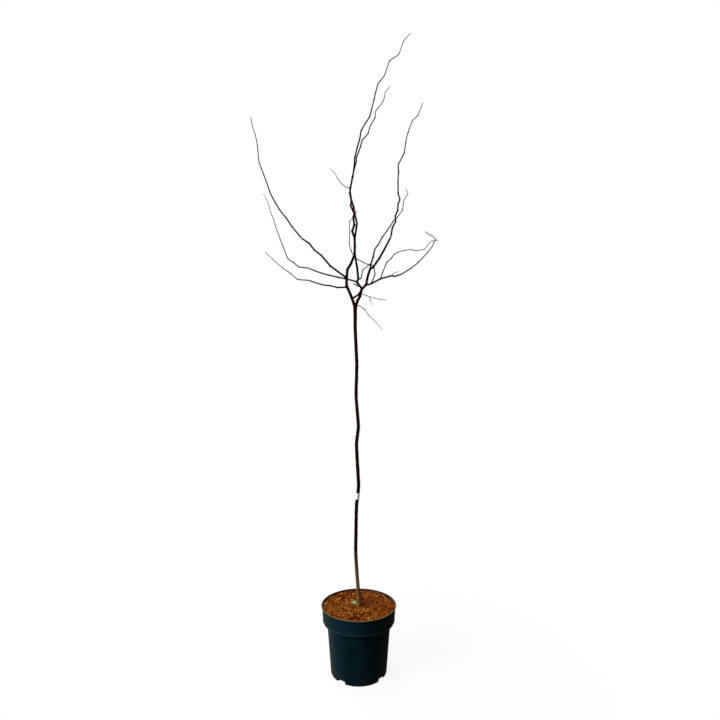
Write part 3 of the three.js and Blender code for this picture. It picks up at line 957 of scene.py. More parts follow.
def furrows(grain, layers):
    """Ridges and waves drawn out along the limb, about 1 high."""
    added = 0
    for shift, (width, length, share) in zip((0, WAVE_SHIFT), layers):
        added = added + share * roughness_at(grain + shift, (width, width, length))
    return added


def bark_relief(name, depth, swell):
    """What the nodes and the bark's ridges add to a limb's radius."""
    sites = sites_of(name)

    def relief_at(grain, distances, outwards, _centres):
        stoutness = np.minimum(1, plain_radius(name, distances) / TRUNK_RADIUS)
        added = depth * furrows(grain, BOUGH_GRAIN) * np.sqrt(stoutness)
        for site in sites:
            near = hump(distances - site.distance, NODE_WIDTH[0] + NODE_WIDTH[1] * site.radius)
            facing = np.clip(outwards @ site.out, 0, 1)
            added += swell * near * between((NODE_BACK, 1), facing)
        return added

    return relief_at


def trunk_relief(depth):
    """The trunk's relief: ridges, old nodes, healed pruning cuts and the lobes of the root flare."""
    line = LINES["trunk"]
    first, room, spacing = OLD_NODES
    old_nodes = np.arange(first, line.length - room, spacing)

    def relief_at(grain, distances, outwards, centres):
        added = depth * furrows(grain, TRUNK_GRAIN)
        for count, node in enumerate(old_nodes):
            facing = outwards @ bearing_vector(OLD_NODE_TURN * count)
            swell = between(OLD_NODE_SWELL, np.clip(facing, 0, 1))
            added += hump(distances - node, OLD_NODE_WIDTH) * swell
        for knot in KNOTS:
            heart = line.nearest((0, 0, knot.height)) + bearing_vector(knot.bearing) * TRUNK_RADIUS
            away = np.linalg.norm(centres + outwards * TRUNK_RADIUS - heart, axis=1) / knot.radius
            added += KNOT_SWELL * knot.radius * hump(away, 1)
            added -= KNOT_HOLLOW * knot.radius * hump(away, KNOT_HOLLOW_WIDTH)
        from_tape = (centres[:, 2] - TAPE_BOTTOM - TAPE_WIDTH / 2) / (TAPE_SMOOTHING * TAPE_WIDTH)
        added *= 1 - np.exp(-(from_tape**4))
        bearings = np.arctan2(outwards[:, 1], outwards[:, 0])
        lobes = sum(share * np.cos(number * bearings + turn) for number, turn, share in LOBE_WAVES)
        return added + LOBE_HEIGHT * lobes * np.exp(-distances / LOBE_FADE)

    return relief_at


# ---- Buds: lengths in millimetres, leans in degrees, other sizes as shares ----
BUD_SIDES = 8
BUD_SIZE = (0.85, 1.2)  # least and most, as shares of the usual length
BUD_LEAN = (18, 34)
BUD_WIDTH = 0.52
BUD_FLATNESS = 0.8
BUD_SINK = 0.15  # how deep the foot lies under the bark
BOUGH_BUD_SIZE = 0.8
CUSHION_SINK = 0.5
CUSHION_DROP = 1.1
CUSHION_LEAN = 8
CUSHION_LENGTH = (1.15, 0.2)  # in millimetres, and the share of the limb's radius added to it
CUSHION_WIDTH = (2.2, 0.25)
CUSHION_FLATNESS = 0.7
CLUSTER_BUDS = (4, 8)  # at least the first number, and fewer than the second
CLUSTER_SPREAD = (0.25, 1)
CLUSTER_NARROWING = 0.8
CLUSTER_REACH = 0.9
CLUSTER_SINK = 0.35
CLUSTER_BUD_SIZE = (0.55, 0.8)
CLUSTER_BUD_WIDTH = 0.6
SIDE_LEAN = 1e-3  # keeps a bud's side defined where the bud points straight out
END_BUD_SIZE = 0.75
END_BUD_MOST = 0.4  # share of the twig's length
END_BUD_WIDTH = (1.5, 2.3)  # least in millimetres, and the share of the twig's radius
BUD_RINGS = (  # shares of the radius and of the length, with the edge of a scale part of the way up
    (0.5, 0), (0.88, 0.12), (1, 0.3), (0.98, 0.44), (0.86, 0.47), (0.8, 0.62), (0.5, 0.84), (0.12, 1),
)


@functools.cache
def unit_bud():
    """A pointed bud of radius and length 1, standing on its foot."""
    return lift_off(ring_up([(radius / MM, height / MM) for radius, height in BUD_RINGS], BUD_SIDES))


def set_bud(place, along, out, lean, length, width, flat=1.0):
    """A bud at a place, leaning out from a direction by so many degrees."""
    axis = unit(leaning(along, out, lean))
    side = unit(np.cross(axis, out + SIDE_LEAN * along))
    face = np.cross(side, axis)
    bud = unit_bud()
    corners = (
        bud.corners[:, :1] * side * width / 2
        + bud.corners[:, 1:2] * face * width / 2 * flat
        + bud.corners[:, 2:] * axis * length
    )
    return Shape(corners + place, bud.faces, corners)


def bud_at(site, length, stream):
    """A leaf bud on a node, pressed to the stem, with the cushion of its old leaf under it."""
    size = length * between(BUD_SIZE, next(stream))
    skin = site.place + site.out * (site.radius - BUD_SINK)
    lean = between(BUD_LEAN, next(stream))
    seat = site.place + site.out * (site.radius - CUSHION_SINK) - site.along * CUSHION_DROP
    height, width = (least + share * site.radius for least, share in (CUSHION_LENGTH, CUSHION_WIDTH))
    cushion = set_bud(seat, site.out, -site.along, CUSHION_LEAN, height, width, CUSHION_FLATNESS)
    return [set_bud(skin, site.along, site.out, lean, size, size * BUD_WIDTH, BUD_FLATNESS), cushion]


def cluster_at(site, length, stream):
    """A cluster of small round flower buds on the bark of a node."""
    buds = []
    across = np.cross(site.along, site.out)
    for _ in range(int(between(CLUSTER_BUDS, next(stream)))):
        turn = math.tau * next(stream)
        spread = between(CLUSTER_SPREAD, next(stream))
        sidewards = math.cos(turn) * across * CLUSTER_NARROWING + math.sin(turn) * site.along
        lean = unit(site.out + spread * sidewards)
        size = length * between(CLUSTER_BUD_SIZE, next(stream))
        foot = site.place + unit((site.out + lean) / 2) * (site.radius - CLUSTER_SINK)
        foot = foot + spread * CLUSTER_REACH * math.sin(turn) * site.along
        buds.append(set_bud(foot, lean, site.along, 0, size, size * CLUSTER_BUD_WIDTH))
    return buds


# ---- Shader sums ----
FINE_WAVES = 0.55  # how much the finer waves of a noise count


class Wire:
    """One output of a node, with which sums are written as in plain Python."""

    def __init__(self, network, socket):
        self.network = network
        self.socket = socket

    def _sum(self, operation, *values):
        return self.network.node("ShaderNodeMath", {"operation": operation}, dict(enumerate(values)))

    def __add__(self, other):
        return self._sum("ADD", self, other)

    def __radd__(self, other):
        return self._sum("ADD", other, self)

    def __sub__(self, other):
        return self._sum("SUBTRACT", self, other)

    def __rsub__(self, other):
        return self._sum("SUBTRACT", other, self)

    def __mul__(self, other):
        return self._sum("MULTIPLY", self, other)

    def __rmul__(self, other):
        return self._sum("MULTIPLY", other, self)


def opaque(colour):
    """A colour with its alpha. A wire stays as it is."""
    return colour if isinstance(colour, Wire) else (*colour, 1)


class Network:
    """The nodes of a material or a world."""

    def __init__(self, tree):
        self.nodes = tree.nodes
        self.links = tree.links

    def feed(self, socket, value):
        """Gives a socket a value, or links a wire to it."""
        if isinstance(value, Wire):
            self.links.new(value.socket, socket)
        else:
            socket.default_value = value

    def node(self, kind, settings=None, inputs=None, output=0):
        """Adds a node: its type, its settings, its inputs, and which output is wanted."""
        made = self.nodes.new(kind)
        for setting, value in (settings or {}).items():
            setattr(made, setting, value)
        for socket, value in (inputs or {}).items():
            self.feed(made.inputs[socket], value)
        return Wire(self, made.outputs[output])

    def mix(self, factor, first, second):
        """One colour turned into another."""
        inputs = {0: factor, 6: opaque(first), 7: opaque(second)}
        return self.node("ShaderNodeMix", {"data_type": "RGBA"}, inputs, 2)

    def scaled(self, vector, factors):
        """A vector with each of its parts multiplied."""
        return self.node("ShaderNodeVectorMath", {"operation": "MULTIPLY"}, {0: vector, 1: factors})

    def length(self, vector):
        """How long a vector is."""
        return self.node("ShaderNodeVectorMath", {"operation": "LENGTH"}, {0: vector}, "Value")

    def step(self, value, low, high):
        """0 below one value and 1 above another, with a smooth way between."""
        settings = {"interpolation_type": "SMOOTHSTEP"}
        return self.node("ShaderNodeMapRange", settings, {"Value": value, "From Min": low, "From Max": high})

    def texture(self, kind, vector, scale, **inputs):
        """A texture whose features come so many to the metre: one number, or one along each axis."""
        if isinstance(scale, tuple):
            vector = self.scaled(vector, scale)
            scale = 1
        return self.node(kind, None, {"Vector": vector, "Scale": scale, **inputs})

    def noise(self, vector, scale, detail):
        """Smooth noise round a half."""
        return self.texture("ShaderNodeTexNoise", vector, scale, Detail=detail, Roughness=FINE_WAVES)

    def cells(self, vector, scale):
        """The distance to the nearest of scattered points."""
        return self.texture("ShaderNodeTexVoronoi", vector, scale)

    def part(self, vector, axis):
        """One part of a vector: X, Y or Z."""
        return self.node("ShaderNodeSeparateXYZ", None, {0: vector}, axis)


class Finish(Network):
    """A material whose shader is fed through its nodes. Its constants are set on the shader."""

    def __init__(self, name, **constants):
        self.material = bpy.data.materials.new(name)
        self.material.use_nodes = True
        super().__init__(self.material.node_tree)
        self.shader = self.nodes["Principled BSDF"]
        for socket, value in constants.items():
            self.shader.inputs[socket.replace("_", " ")].default_value = value
        self.place = self.node("ShaderNodeTexCoord", output="Object")

    def grain(self):
        """The place in the straight limb, so that streaks follow the limb's bends."""
        return self.node("ShaderNodeAttribute", {"attribute_name": "grain"}, output="Vector")

    def set(self, colour, roughness, bump, depth, strength=1.0):
        """Feeds the shader: its colour, its roughness, and its bump with the depth that this stands for."""
        self.feed(self.shader.inputs["Base Color"], colour)
        self.feed(self.shader.inputs["Roughness"], roughness)
        inputs = {"Strength": strength, "Distance": depth, "Height": bump}
        self.feed(self.shader.inputs["Normal"], self.node("ShaderNodeBump", None, inputs))
        return self


# ---- Finishes: linear colours, and heights in metres ----
OLD_BARK = (0.42, 0.56)  # between these heights the olive bark of the foot gives way
BARK_PATCH = (0.024, 0.0058, 0.0018)
BARK_PORE = (0.055, 0.021, 0.009)
OLIVE_FURROW = (0.08, 0.043, 0.013)
TWIG_DARK = (0.0075, 0.0009, 0.0025)
TWIG_RED = (0.03, 0.0055, 0.0105)
TWIG_SKIN = (0.044, 0.013, 0.024)
TWIG_PORE = (0.09, 0.05, 0.032)
BUD_DARK = (0.009, 0.0022, 0.0012)
BUD_RED = (0.042, 0.0115, 0.006)
PLASTIC_RANGE = (0.62, 1.35)  # darkest and lightest, as shares of the pot's colour
SCUFF = (0.16, 0.19, 0.2)
# painted highlight along the band's bead
BEAD_HIGHLIGHT = (0.035, 0.065, 0.085)
# mulch stain and painted shade inside the pot, above the mulch
STAINED_AND_SHADED_PLASTIC = (0.02, 0.009, 0.0035)
COMPOST_DARK = (0.11, 0.026, 0.0015)
COMPOST_LIGHT = (0.21, 0.06, 0.006)
TAPE_WHITE = (0.93, 0.93, 0.92)
TAPE_SOIL = (0.74, 0.73, 0.7)
LEAF_GREEN = (0.24, 0.42, 0.15)
LEAF_FADED = (0.46, 0.54, 0.34)
CHIP_TONES = {  # each tone runs between two near colours
    "orange": ((0.18, 0.045, 0.0022), (0.29, 0.081, 0.005)),
    "russet": ((0.105, 0.02, 0.001), (0.2, 0.044, 0.002)),
    "maroon": ((0.046, 0.004, 0.0004), (0.095, 0.012, 0.0009)),
    "tan": ((0.3, 0.11, 0.012), (0.42, 0.17, 0.028)),
    "pale": ((0.48, 0.21, 0.075), (0.64, 0.32, 0.15)),
}
RIM_DUST = (0.2592, 0.2609)  # heights on the pot between which its marks fade in or out
INSIDE_SHADE = (0.235, 0.236)
INNER_WALL = (0.1279, 0.1289)  # radii that part the inner side from the outer, brought down to height 0
WALL_DRAFT = 0.09  # how much the wall's radius grows with the height
FOOT_DUST = (0.004, 0.045)
# heights between which the painted highlight on the band's bead fades in and out
BEAD_HIGHLIGHT_HEIGHTS = (0.2026, 0.2032, 0.2052, 0.206)


@functools.cache
def bark_finish():
    """Old bark: dark maroon with fine streaks and pale lenticels, olive and grey at the trunk's foot."""
    colours = bpy.context.scene.redbud_bark
    finish = Finish("redbud_bark", Specular_IOR_Level=0.02)
    grain = finish.grain()
    streaks = finish.noise(grain, scale=(620, 620, 48), detail=4)
    patches = finish.noise(grain, scale=(60, 60, 20), detail=3)
    pores = 1 - finish.step(finish.cells(grain, scale=(210, 210, 270)), 0.1, 0.2)
    height = finish.part(finish.place, "Z")
    foot = 1 - finish.step(height + 0.12 * patches, *OLD_BARK)
    colour = finish.mix(finish.step(streaks, 0.38, 0.66), colours.dark, colours.warm)
    colour = finish.mix(0.55 * finish.step(patches, 0.5, 0.75), colour, BARK_PATCH)
    olive = finish.mix(finish.step(streaks, 0.35, 0.65), OLIVE_FURROW, colours.olive)
    colour = finish.mix(0.95 * foot, colour, olive)
    colour = finish.mix(0.3 * pores, colour, BARK_PORE)
    relief = 0.6 * streaks + 0.5 * pores
    return finish.set(colour, 0.62 + 0.22 * streaks, relief, depth=0.35 * MM, strength=0.8)


@functools.cache
def twig_finish():
    """Young bark: red-brown under a thin grey skin, with many small pores."""
    finish = Finish("redbud_young_bark", Specular_IOR_Level=0.04)
    grain = finish.grain()
    streaks = finish.noise(grain, scale=(900, 900, 90), detail=3)
    skin = finish.noise(finish.place, scale=70, detail=4)
    pores = 1 - finish.step(finish.cells(grain, scale=420), 0.12, 0.24)
    colour = finish.mix(streaks, TWIG_DARK, TWIG_RED)
    colour = finish.mix(0.45 * finish.step(skin, 0.46, 0.68), colour, TWIG_SKIN)
    colour = finish.mix(0.35 * pores, colour, TWIG_PORE)
    relief = 0.5 * streaks + 0.5 * pores
    return finish.set(colour, 0.5 + 0.25 * skin, relief, depth=0.2 * MM, strength=0.7)


@functools.cache
def bud_finish():
    """Bud scales: dark red-brown with a slight gloss."""
    finish = Finish("redbud_bud", Specular_IOR_Level=0.16)
    grain = finish.grain()
    scales = finish.noise(grain, scale=(900, 900, 400), detail=2)
    colour = finish.mix(scales, BUD_DARK, BUD_RED)
    return finish.set(colour, 0.34 + 0.2 * scales, scales, depth=0.15 * MM, strength=0.5)


@functools.cache
def plastic_finish():
    """Navy nursery plastic: finely grained, a little scuffed, dusty at the rim and the foot, with a painted
    highlight on the band's bead, and brown inside from mulch stain and painted shade."""
    colours = bpy.context.scene.redbud_pot
    finish = Finish("pot_plastic", Specular_IOR_Level=0.1)
    place = finish.place
    clouds = finish.noise(place, scale=9, detail=4)
    specks = finish.noise(place, scale=260, detail=2)
    scuffs = finish.step(finish.noise(place, scale=(26, 26, 240), detail=3), 0.66, 0.74)
    height = finish.part(place, "Z")
    rim = finish.step(height, *RIM_DUST) * finish.step(specks + 0.5 * clouds, 0.52, 0.86)
    away = finish.length(finish.scaled(place, (1, 1, 0)))
    outer = finish.step(away - WALL_DRAFT * height, *INNER_WALL)
    inside = (1 - outer) * finish.step(height, *INSIDE_SHADE)
    foot = (1 - finish.step(height, *FOOT_DUST)) * finish.step(clouds, 0.4, 0.75)
    bead_highlight = finish.step(height, *BEAD_HIGHLIGHT_HEIGHTS[:2]) * (1 - finish.step(height, *BEAD_HIGHLIGHT_HEIGHTS[2:]))
    darker, lighter = (tuple(share * part for part in colours.plastic) for share in PLASTIC_RANGE)
    colour = finish.mix(finish.step(clouds, 0.3, 0.7), darker, lighter)
    colour = finish.mix(0.07 * scuffs, colour, SCUFF)
    # painted highlight: the band's bead is lightened as if light caught it
    colour = finish.mix(0.5 * bead_highlight, colour, BEAD_HIGHLIGHT)
    colour = finish.mix(0.1 * foot, colour, colours.dust)
    colour = finish.mix(0.8 * rim, colour, colours.dust)
    # mulch stain and painted shade: the inside above the mulch is darkened
    colour = finish.mix(0.92 * inside, colour, STAINED_AND_SHADED_PLASTIC)
    roughness = 0.4 + 0.12 * clouds + 0.16 * scuffs + 0.3 * rim
    moulded = finish.noise(place, scale=1400, detail=1)
    return finish.set(colour, roughness, moulded, depth=0.06 * MM, strength=0.5)


@functools.cache
def compost_finish():
    """Damp compost between the chips."""
    finish = Finish("compost", Specular_IOR_Level=0.04)
    grit = finish.noise(finish.place, scale=420, detail=4)
    colour = finish.mix(grit, COMPOST_DARK, COMPOST_LIGHT)
    return finish.set(colour, roughness=0.9, bump=grit, depth=1.2 * MM)


@functools.cache
def chip_finish(tone):
    """Bark of one tone, with fibres."""
    finish = Finish(f"mulch_{tone}", Specular_IOR_Level=0.05)
    mottle = finish.noise(finish.place, scale=130, detail=3)
    fibres = finish.noise(finish.place, scale=(300, 900, 900), detail=2)
    colour = finish.mix(finish.step(0.6 * mottle + 0.4 * fibres, 0.36, 0.64), *CHIP_TONES[tone])
    return finish.set(colour, roughness=0.82, bump=fibres, depth=0.5 * MM, strength=0.8)


@functools.cache
def tape_finish():
    """White vinyl tape, faintly soiled."""
    finish = Finish("marker_tape", Specular_IOR_Level=0.4)
    soil = finish.noise(finish.place, scale=120, detail=4)
    colour = finish.mix(finish.step(soil, 0.5, 0.85), TAPE_WHITE, TAPE_SOIL)
    return finish.set(colour, 0.38 + 0.2 * soil, soil, depth=0.12 * MM, strength=0.5)


@functools.cache
def scrap_finish():
    """A faded scrap of leaf."""
    finish = Finish("leaf_scrap", Specular_IOR_Level=0.3)
    fade = finish.noise(finish.place, scale=160, detail=3)
    veins = finish.noise(finish.place, scale=(900, 160, 160), detail=2)
    colour = finish.mix(finish.step(fade, 0.3, 0.7), LEAF_GREEN, LEAF_FADED)
    return finish.set(colour, roughness=0.55, bump=veins, depth=0.4 * MM, strength=0.6)


# ---- Pot ----
def quarter_turn(steps):
    """Sine and one minus cosine of the turns from 0 to 90 degrees."""
    turns = np.linspace(0, math.pi / 2, steps + 1)
    return list(zip(np.sin(turns), 1 - np.cos(turns)))


def pot_side(inset):
    """The pot's side up to the collar's lower edge as radius and height, inset evenly."""
    foot = BASE_RADIUS - BASE_ROUND - inset
    step = COLLAR_BOTTOM_RADIUS - BODY_TOP_RADIUS
    low = [(foot + BASE_ROUND * s, BASE_ROUND * rise) for s, rise in quarter_turn(BASE_ROUND_STEPS)]
    high = [
        (BODY_TOP_RADIUS + step * s - inset, BODY_TOP + UNDERCUT_HEIGHT * rise + inset)
        for s, rise in quarter_turn(UNDERCUT_STEPS)
    ]
    return low + high


def arc(centre_radius, centre_height, radius, start, end, steps):
    """Points of an arc in a profile, from one angle to another in degrees."""
    turns = np.radians(np.linspace(start, end, steps + 1))
    return [(centre_radius + radius * math.cos(t), centre_height + radius * math.sin(t)) for t in turns]


def model_pot(sides):
    """The pot as one closed wall, with its beads, its rounded lip, its recessed foot and its notches."""
    collar_foot = POT_HEIGHT - COLLAR_HEIGHT
    lip_foot = POT_HEIGHT - LIP_HEIGHT
    outside = ring_up([
        (CENTRE_DISC, FOOT_RECESS),
        (BASE_RADIUS - FOOT_RING, FOOT_RECESS),
        (BASE_RADIUS - FOOT_RING + FOOT_CHAMFER, 0),
        *pot_side(0),
        *arc(COLLAR_BOTTOM_RADIUS, collar_foot + COLLAR_BEAD, COLLAR_BEAD, *BEAD_ARC),
        (wall_radius(lip_foot - LIP_GROOVE) + WALL, lip_foot - LIP_GROOVE),
        *arc(RIM_RADIUS - LIP_ROUND, lip_foot + LIP_ROUND, LIP_ROUND, -90, 0, LIP_STEPS),
        *arc(RIM_RADIUS - LIP_ROUND, POT_HEIGHT - LIP_ROUND, LIP_ROUND, 0, 90, LIP_STEPS),
        (COLLAR_TOP_RADIUS - WALL, POT_HEIGHT),
        (CENTRE_DISC, POT_HEIGHT),
    ], sides)
    inside = [point for point in pot_side(WALL) if point[1] > FLOOR]
    space = ring_up([
        (CENTRE_DISC, FLOOR),
        (inside[0][0] - FLOOR_EDGE, FLOOR),
        *inside,
        (wall_radius(POT_HEIGHT - MOUTH_DEPTH), POT_HEIGHT - MOUTH_DEPTH),
        *((COLLAR_TOP_RADIUS - WALL + out, POT_HEIGHT + up) for out, up in MOUTH_EDGE),
        (CENTRE_DISC, POT_HEIGHT + LIP_HEIGHT),
    ], sides)
    cut_away(space, notch_blocks(WALL))
    cut_away(outside, [space, *notch_blocks(0)])
    return outside


def cut_away(piece, cutters):
    """Cuts pieces out of another. They themselves are removed."""
    for cutter in cutters:
        apply_modifier(piece, "BOOLEAN", operation="DIFFERENCE", solver="EXACT", object=cutter)
        bpy.data.meshes.remove(cutter.data)


def notch_blocks(grown):
    """A block with two rounded upper edges at each notch in the pot's foot, grown all round."""
    blocks = []
    size = (2 * (NOTCH_DEPTH + grown), NOTCH_WIDTH + 2 * grown, 2 * (NOTCH_HEIGHT + grown))
    for k in range(NOTCH_COUNT):
        place = (BASE_RADIUS * MM, 0, 0)
        scale = [MM * part for part in size]
        block = fresh(bpy.ops.mesh.primitive_cube_add, size=1, location=place, scale=scale)
        pick_edges(block, lambda a, b: min(a.z, b.z) > 0 and abs(a.x - b.x) > NOTCH_DEPTH * MM)
        with editing(block, "EDGE"):
            bpy.ops.mesh.bevel(offset=(NOTCH_ROUND + grown) * MM, segments=4)
        bearing = math.radians(FIRST_NOTCH_BEARING) + math.tau * k / NOTCH_COUNT
        block.data.transform(Matrix.Rotation(bearing, 4, "Z"))
        blocks.append(block)
    return blocks


# ---- Mulch ----
def mulch_height(x, y):
    """The compost's height at a place: a low crown towards the trunk, with bumps."""
    away = math.hypot(x, y) / RIM_RADIUS
    crown = between((BED_FOOT_HEIGHT, BED_EDGE_HEIGHT), away)
    return crown + BED_BUMP * patchiness(x, y, BED_BUMP_SPACING, BED_BUMP_LAYER)


def wall_radius(height):
    """The radius of the pot's inside at a height within the collar."""
    up = (height - (POT_HEIGHT - COLLAR_HEIGHT)) / COLLAR_HEIGHT
    return COLLAR_BOTTOM_RADIUS + COLLAR_DRAFT * up - WALL


def model_bed():
    """The compost that fills the pot, with an uneven top."""
    edge_radius = wall_radius(BED_EDGE_HEIGHT) - GAP
    sides = [point for point in pot_side(WALL + GAP) if FLOOR + GAP < point[1] < BED_EDGE_HEIGHT]
    top = [
        (between((edge_radius, CENTRE_DISC), k / BED_RINGS), BED_EDGE_HEIGHT)
        for k in range(BED_RINGS + 1)
    ]
    profile = [(CENTRE_DISC, FLOOR + GAP), (sides[0][0] - FLOOR_EDGE, FLOOR + GAP), *sides, *top]
    bed = ring_up(profile, BED_SIDES)
    corners = corners_of(bed)
    for corner in corners:
        if corner[2] > BED_EDGE_HEIGHT - GAP:
            corner[2] = mulch_height(corner[0], corner[1])
    set_corners(bed, corners)
    cut_away(bed, notch_blocks(WALL + GAP))
    return bed


def rough_lump(roughness, seed, cuts=0):
    """A block of size 1 with each corner thrown a little."""
    lump = fresh(bpy.ops.mesh.primitive_cube_add, size=1)
    with editing(lump):
        if cuts:
            bpy.ops.mesh.subdivide(number_cuts=cuts)
        bpy.ops.transform.vertex_random(offset=roughness, uniform=1, normal=0, seed=seed)
    return lift_off(lump)


def chip_shape(seed):
    """A rough flake of bark of length, width and thickness 1, narrower towards its ends."""
    flake = rough_lump(CHIP_ROUGHNESS, seed, cuts=1)
    flake.corners[:, 1:] *= 1 - CHIP_TAPER * np.abs(flake.corners[:, :1])
    return flake


def turned(corners, heading, pitch, roll):
    """Corners rolled about X, pitched about Y and headed about Z, by radians."""
    turn = Matrix.Rotation(heading, 3, "Z") @ Matrix.Rotation(pitch, 3, "Y") @ Matrix.Rotation(roll, 3, "X")
    return corners @ np.array(turn).T


def held_in_pot(corners):
    """Corners kept inside the pot's wall and under its rim."""
    corners[:, 2] = np.minimum(corners[:, 2], CHIP_TOP)
    away = np.hypot(corners[:, 0], corners[:, 1])
    limit = wall_radius(corners[:, 2]) - GAP
    corners[:, :2] *= np.minimum(1, limit / np.maximum(away, 1))[:, None]
    return corners


SHADOW_PATCHES = ((-72, 78), (26, 66), (6, 16), (-12, -108))  # painted shadow: patches where the chips are dealt darker tones
PATCH_RADIUS = 27
TONE_SPACING = 34  # of smaller changes in tone
TONE_LAYER = 3.7  # of the noise
DARK_CHIPS = 0.09  # share of maroon chips all over
DARK_PATCHY = 0.24  # more and less of them, with the smaller changes
DARK_IN_SHADOW = 0.66  # and more of them in the patches of painted shadow
DARK_LIMITS = (0.05, 0.75)
TONE_SHARES = {  # shares of the other chips at the back, and in front; the rest is orange
    "pale": (0.03, 0.07),
    "tan": (0.09, 0.14),
    "russet": (0.34, 0.34),
}
PALE_SIZE = 0.72  # pale flecks are smaller than the rest


def tone_at(x, y, draw):
    """The tone of a chip: darker in the patches of painted shadow, with pale flecks in front."""
    patch = patchiness(x, y, TONE_SPACING, TONE_LAYER)
    # painted shadow: more dark chips within the shadow patches
    shadowed = sum(hump(math.hypot(x - a, y - b), PATCH_RADIUS) for a, b in SHADOW_PATCHES)
    front = 0.5 - 0.5 * y / RIM_RADIUS
    darkness = DARK_CHIPS + DARK_PATCHY * patch + DARK_IN_SHADOW * min(1, shadowed)
    shares = {"maroon": np.clip(darkness, *DARK_LIMITS)}
    shares |= {tone: between(ends, front) for tone, ends in TONE_SHARES.items()}
    for tone, share in shares.items():
        if draw < share:
            return tone
        draw -= share
    return "orange"


def scatter(shapes, count, length, seed, parts=None):
    """Copies of a few shapes strewn over the compost, dealt out by tone. Their width and thickness are
    drawn, or follow from parts."""
    random = np.random.default_rng(seed)
    heaps = {tone: [] for tone in CHIP_TONES}
    reach = wall_radius(BED_EDGE_HEIGHT) - CHIP_MARGIN
    for _ in range(count):
        away = reach * math.sqrt(random.random())
        bearing = math.tau * random.random()
        x = away * math.cos(bearing)
        y = away * math.sin(bearing)
        shape = shapes[random.integers(len(shapes))]
        size = length * random.lognormal(0, CHIP_SPREAD)
        tone = tone_at(x, y, random.random())
        size *= PALE_SIZE if tone == "pale" else 1
        drawn = (1, random.uniform(*CHIP_WIDTH), random.uniform(*CHIP_THICKNESS))
        tilt = random.normal(0, CHIP_TILT, 2)
        layer = CHIP_LAYER * random.random() ** CHIP_SETTLING
        sizes = size * np.array(parts or drawn)
        corners = turned(shape.corners * sizes, math.tau * random.random(), *tilt)
        corners = corners + (x, y, mulch_height(x, y) + layer)
        heaps[tone].append(Shape(held_in_pot(corners), shape.faces, corners))
    return heaps


SCRAP_PLACE = (-20, 12, 260)  # by the trunk's foot, on its left
SCRAP_SIZE = (21, 14)
SCRAP_TURN = (0.25, 0.12, 0.55)  # its heading, pitch and roll in radians
SCRAP_THICKNESS = 0.5
SCRAP_TIP = 0.02  # how blunt its two tips are
SCRAP_CURL = (4.6, 1.8, 0.9, 7)  # rise at its sides and its ends, and height and number of its ripples


def model_scrap():
    """A curled scrap of leaf that lies on the mulch."""
    scrap = fresh(bpy.ops.mesh.primitive_grid_add, x_subdivisions=18, y_subdivisions=12, size=2)
    along, across, _ = (corners_of(scrap) * MM).T
    across = across * np.sqrt(np.clip(1 + SCRAP_TIP - along**2, SCRAP_TIP, 1))
    length, width = SCRAP_SIZE
    sides, ends, ripple, ripples = SCRAP_CURL
    curl = sides * across**2 + ends * along**2 - ripple * np.cos(ripples * along)
    shaped = np.stack([along * length / 2, across * width / 2, curl], axis=1)
    set_corners(scrap, turned(shaped, *SCRAP_TURN) + SCRAP_PLACE)
    apply_modifier(scrap, "SOLIDIFY", thickness=SCRAP_THICKNESS * MM, offset=0)
    return scrap


# ---- Tape ----
def model_tape():
    """A strip of tape wound a little more than once round the trunk, with its end lying on itself."""
    strip = fresh(bpy.ops.mesh.primitive_grid_add, x_subdivisions=110, y_subdivisions=14, size=2)
    along, across, _ = (corners_of(strip) * MM + 1).T / 2
    turns = math.radians(TAPE_START) + math.tau * TAPE_TURNS * along
    heights = TAPE_BOTTOM + TAPE_WIDTH * across + TAPE_DRIFT * np.sin(turns / 2)
    outwards = np.stack([np.cos(turns), np.sin(turns)], axis=1)
    wound = np.column_stack([outwards * TAPE_RADIUS, heights])
    wrinkles = TAPE_SLACK * roughness_at(wound, WRINKLE_SPACING)
    radii = TAPE_RADIUS + (TAPE_PLY + TAPE_SLACK) * TAPE_TURNS * along + wrinkles
    x, y, z = LINES["trunk"].spaced(NEAREST_SAMPLES).T
    middle = np.stack([np.interp(heights, z, part) for part in (x, y)], axis=1)
    set_corners(strip, np.column_stack([middle + outwards * radii[:, None], heights]))
    apply_modifier(strip, "SOLIDIFY", thickness=TAPE_PLY * MM, offset=0)
    return strip


# ---- Stage, in metres ----
FLOOR_RADIUS = 16
FLOOR_GLOW = 0.9  # share of the floor's look that is plain white, and more of it further out
FLOOR_FADE = (0.3, 1.2)  # distances from the tree between which the rest turns white
SURROUND_LIGHT = 0.09  # the white surround shows at strength 1, and lights the pieces with this much
BACK_GLOW = 0.36  # and with this much more from behind on the left
BACK_TINT = (0.93, 1, 0.74)
LEFT_EDGE = (0.05, 0.5)  # how far left and back of the view this glow sets in
BACK_EDGE = (-0.1, 0.35)
WHITE = (1, 1, 1)
SENSOR_WIDTH = 36  # millimetres, as the focal length
FOCAL_LENGTH = 22.79
CAMERA_SIDE = 0.005
CAMERA_HEIGHT = 1.1067
CAMERA_PITCH = 0.0874  # radians up from level


class SoftBox(NamedTuple):
    """A soft panel of light: its place, the place that it faces, its share of the main light's power,
    its width and its height."""

    name: str
    place: tuple
    target: tuple
    share: float
    width: float
    height: float


SOFT_BOXES = (
    SoftBox("key", (-2.25, -1.35, 1.8), (0, 0, 0.9), 1, 1.2, 1.6),
    SoftBox("top", (0, -0.4, 4.3), (0, 0, 0), 0.53, 2, 2),
    SoftBox("left_panel", (-1.3, 1.8, 0.9), (0, 0, 0.5), 0.34, 0.9, 1.8),
    SoftBox("right_fill", (2.4, -1.2, 1.9), (0, 0, 1), 0.02, 1.4, 1.4),
)


